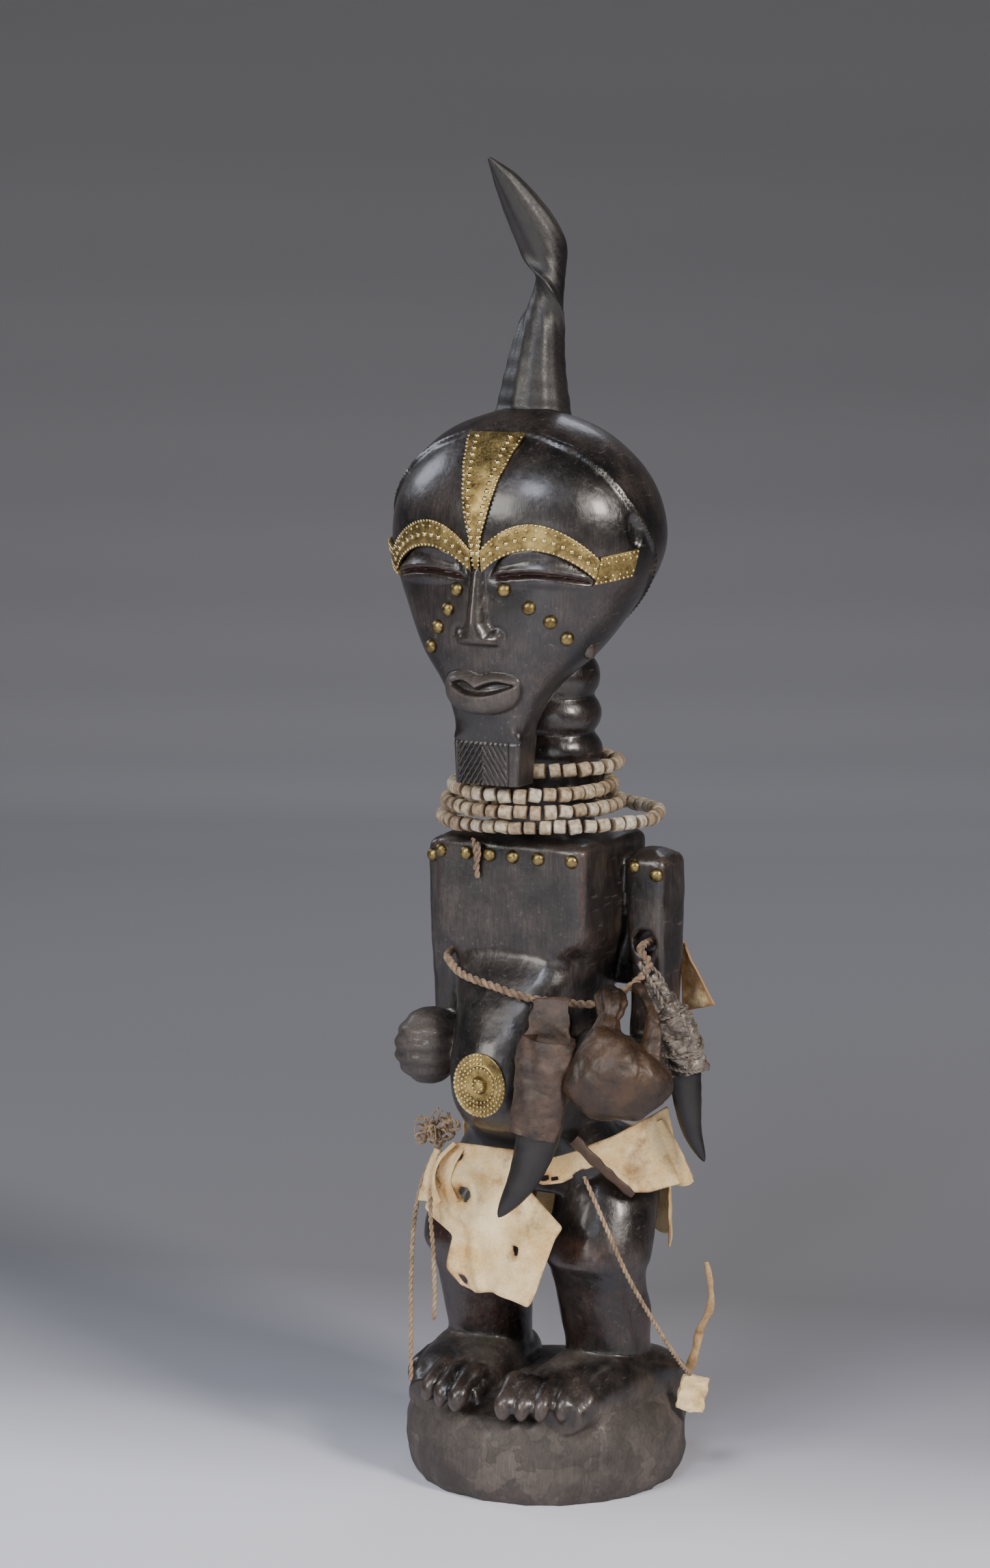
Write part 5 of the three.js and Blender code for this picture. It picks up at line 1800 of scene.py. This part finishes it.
def belly_disc():
    """The profile of a pressed disc, spun about its middle, with small bosses pressed round its rim."""
    # radius, and height above the disc's back
    profile = [
        (0, 0.2), (17.4, 0.2), (17.5, 1.4), (16.9, 1.9), (16.0, 1.5), (11.5, 1.3), (10.6, 1.8),
        (9.6, 1.0), (5.2, 0.9), (4.6, 1.6), (3.9, 3.4), (2.4, 4.5), (0, 4.9),
    ]
    middle = np.array((0, DISC_FACE - 0.4, DISC_HEIGHT))
    edges = [(i, i + 1) for i in range(len(profile) - 1)]
    disc = make("belly_disc_brass", [(r, -h, 0) for r, h in profile], [], edges)
    edited(disc, ("spin", {"steps": 96, "angle": 2 * math.pi, "center": (0, 0, 0), "axis": (0, 1, 0)}))
    outward(disc)
    points = points_of(disc)
    points[:, 1] += 0.35 * np.sin(points[:, 0] / 4 + 1) * (np.hypot(points[:, 0], points[:, 2]) > 7)
    points[:, 2] *= 1.1
    move_points(disc, points + middle)
    spots = []
    for reach, count in ((16.7, 42), (14.3, 36), (11.9, 30), (9.5, 24), (3.2, 8)):
        for k in range(count):
            turn = (k + 0.5 * (count % 4 == 0)) / count * 2 * math.pi
            broken = reach > 11 and 0.5 < turn < 1.35
            lift = 4.2 if reach < 5 else 1.5
            spot = np.array((reach * math.cos(turn), -lift, reach * math.sin(turn) * 1.1))
            if not broken:
                spots.append((spot + middle, (0.0, -1.0, 0.0)))
    return disc, copies("belly_disc_dots", stud(0.95, 8, 3), spots)


class FIGURE_OT_beads(Maker, bpy.types.Operator):
    """String the beads round the neck and hang the thread's end on the chest"""

    bl_idname = "figure.beads"
    bl_label = "Bead strands"

    def execute(self, context):
        for seed, name in enumerate(STRANDS):
            settle(bead_strand(name, seed + 3), old_bead(), "bead", name)
        long_end = smooth_line([(-19, -58, 398), (-19, -54.4, 386), (-18.5, -54, 374)], 30)
        short_end = smooth_line([(-16.5, -57, 396), (-17, -54.6, 388), (-20.5, -54.2, 379)], 26)
        tie = [plied("tie", long_end, 1.7, 9), plied("tie", short_end, 1.3, 8)]
        settle(joined("necklace_tie_fibre", tie), fibre_rope(), "rope", "necklace_tie", smooth=60)
        return {"FINISHED"}


class FIGURE_OT_ropes(Maker, bpy.types.Operator):
    """Lay the two ropes that carry the charms and the hides"""

    bl_idname = "figure.ropes"
    bl_label = "Ropes"

    def execute(self, context):
        settle(charm_rope(), fibre_rope(), "rope", "charm_rope", smooth=60)
        settle(waist_rope(), fibre_rope(), "rope", "waist_rope", smooth=60)
        settle(waist_knot(), dry_fibre(), "rope", smooth=60)
        return {"FINISHED"}


class FIGURE_OT_charms(Maker, bpy.types.Operator):
    """Hang the small horns in their sheaths, and the skin pouch"""

    bl_idname = "figure.charms"
    bl_label = "Charms"

    def execute(self, context):
        settle(small_horn("front_horn_tip", FRONT_HORN), dark_horn(), "horn", "front_horn", smooth=60)
        settle(small_horn("side_horn_tip", SIDE_HORN), dark_horn(), "horn", "side_horn", smooth=60)
        settle(front_sheath(), sheath_leather(), "skin", "front_horn_sheath", smooth=60)
        settle(side_wrap(), wrap_skin(), "skin", "side_horn_wrap", smooth=60)
        settle(pouch(), pouch_leather(), "skin", "skin_pouch", smooth=60)
        return {"FINISHED"}


class FIGURE_OT_hides(Maker, bpy.types.Operator):
    """Cut and hang the stiff hides, their thong and the curled strip"""

    bl_idname = "figure.hides"
    bl_label = "Hides"

    def execute(self, context):
        for seed, (node, place, grid, held_by, stain, holes) in enumerate(HIDES):
            hide, flat, area = hide_sheet(node + "_skin", place, grid, holes, stain, seed + 1.0)
            settle(hide, raw_hide(), "hide", node, smooth=50)
        front_lip = [(-27, -62, 211), (-33, -68, 200), (-33, -73, 190), (-26, -78, 180)]
        edge_lip = [(-44, -57, 206), (-46, -63, 190), (-46, -68, 176)]
        left_lip = [beside(67, 43, 228), beside(77, 41, 208), beside(84, 39, 189)]
        curls = [
            rolled("curl", front_lip, [4, 6, 6.5, 7.5], -2.2),
            rolled("curl", edge_lip, [2.5, 4, 5], 0.6),
            rolled("curl", left_lip, [2.5, 5, 6.5], 2.6),
        ]
        settle(joined("hide_rolled_edges", curls), raw_hide(), "hide", smooth=50)
        thong_line = [(60, -79, 229), (69, -77, 220), (80, -71, 208), (91, -64, 196)]
        thong = band("hide_thong_strap", thong_line, 4.2, 2.0)
        settle(thong, pouch_leather(), "skin", "hide_thong", smooth=60)
        strip = band(
            "stiff_hide_strip_dry",
            [(79.5, 37, 62), (84, 35, 72), (88, 34, 88), (95, 34, 104), (95, 34, 118), (92, 34, 132)],
            3.0,
            1.2,
        )
        settle(strip, sinew(), "hide", "stiff_hide_strip", smooth=60)
        return {"FINISHED"}


class FIGURE_OT_stage(Maker, bpy.types.Operator):
    """Lay the paper with its painted fall of light from pale floor to grey backdrop, and set the soft lights
    """

    bl_idname = "figure.stage"
    bl_label = "Stage"

    def execute(self, context):
        # a flat floor, a wide round cove and a wall
        start, radius = 2.2, 2.4
        turns = np.linspace(0, math.pi / 2, 15)
        cove = [(start + radius * math.sin(turn), radius - radius * math.cos(turn)) for turn in turns]
        outline = [(-16, 0), *cove, (start + radius, 6)]
        points, faces = [], []
        for along, up in outline:
            for across in (-7, 7):
                points.append((BACKWARDS * along + PAPER_SIDE * across + Vector((0, 0, up))) / MM)
        for i in range(len(outline) - 1):
            faces.append((2 * i, 2 * i + 1, 2 * i + 3, 2 * i + 2))
        paper = make("paper", points, faces)
        finish_with(paper, "SUBSURF", levels=2, render_levels=2, subdivision_type="SIMPLE")
        paper.data.materials.append(painted_light_paper())
        choose(paper)
        bpy.ops.object.shade_smooth()
        for light in LIGHTS:
            area_light(*light)
        world = bpy.data.worlds.new("studio")
        world.use_nodes = True
        background = world.node_tree.nodes["Background"].inputs
        background["Color"].default_value = linear("#aab0ba")
        background["Strength"].default_value = 0.17
        context.scene.world = world
        return {"FINISHED"}


STEPS = (
    FIGURE_OT_camera,
    FIGURE_OT_cords,
    FIGURE_OT_carving,
    FIGURE_OT_crown_horn,
    FIGURE_OT_brass,
    FIGURE_OT_nails,
    FIGURE_OT_disc,
    FIGURE_OT_beads,
    FIGURE_OT_ropes,
    FIGURE_OT_charms,
    FIGURE_OT_hides,
    FIGURE_OT_stage,
)


class FIGURE_PT_panel(bpy.types.Panel):
    """Lists the figure's pieces, sizes and colours"""

    bl_label = "Carved Wooden Figure"
    bl_idname = "FIGURE_PT_panel"
    bl_space_type = "VIEW_3D"
    bl_region_type = "UI"
    bl_category = "Figure"

    def draw(self, context):
        for step in STEPS:
            self.layout.operator(step.bl_idname)
        for group in (sizes(), colours()):
            box = self.layout.box()
            for key in group.bl_rna.properties.keys():
                if key not in ("rna_type", "name"):
                    box.prop(group, key)


CLASSES = (FigureSizes, FigureColours, *STEPS, FIGURE_PT_panel)


def register():
    for made in CLASSES:
        bpy.utils.register_class(made)
    bpy.types.Scene.figure_sizes = PointerProperty(type=FigureSizes)
    bpy.types.Scene.figure_colours = PointerProperty(type=FigureColours)


def unregister():
    del bpy.types.Scene.figure_colours
    del bpy.types.Scene.figure_sizes
    for made in reversed(CLASSES):
        bpy.utils.unregister_class(made)


def main():
    register()
    for step in STEPS:
        group, name = step.bl_idname.split(".")
        getattr(getattr(bpy.ops, group), name)()


if __name__ == "__main__":
    main()
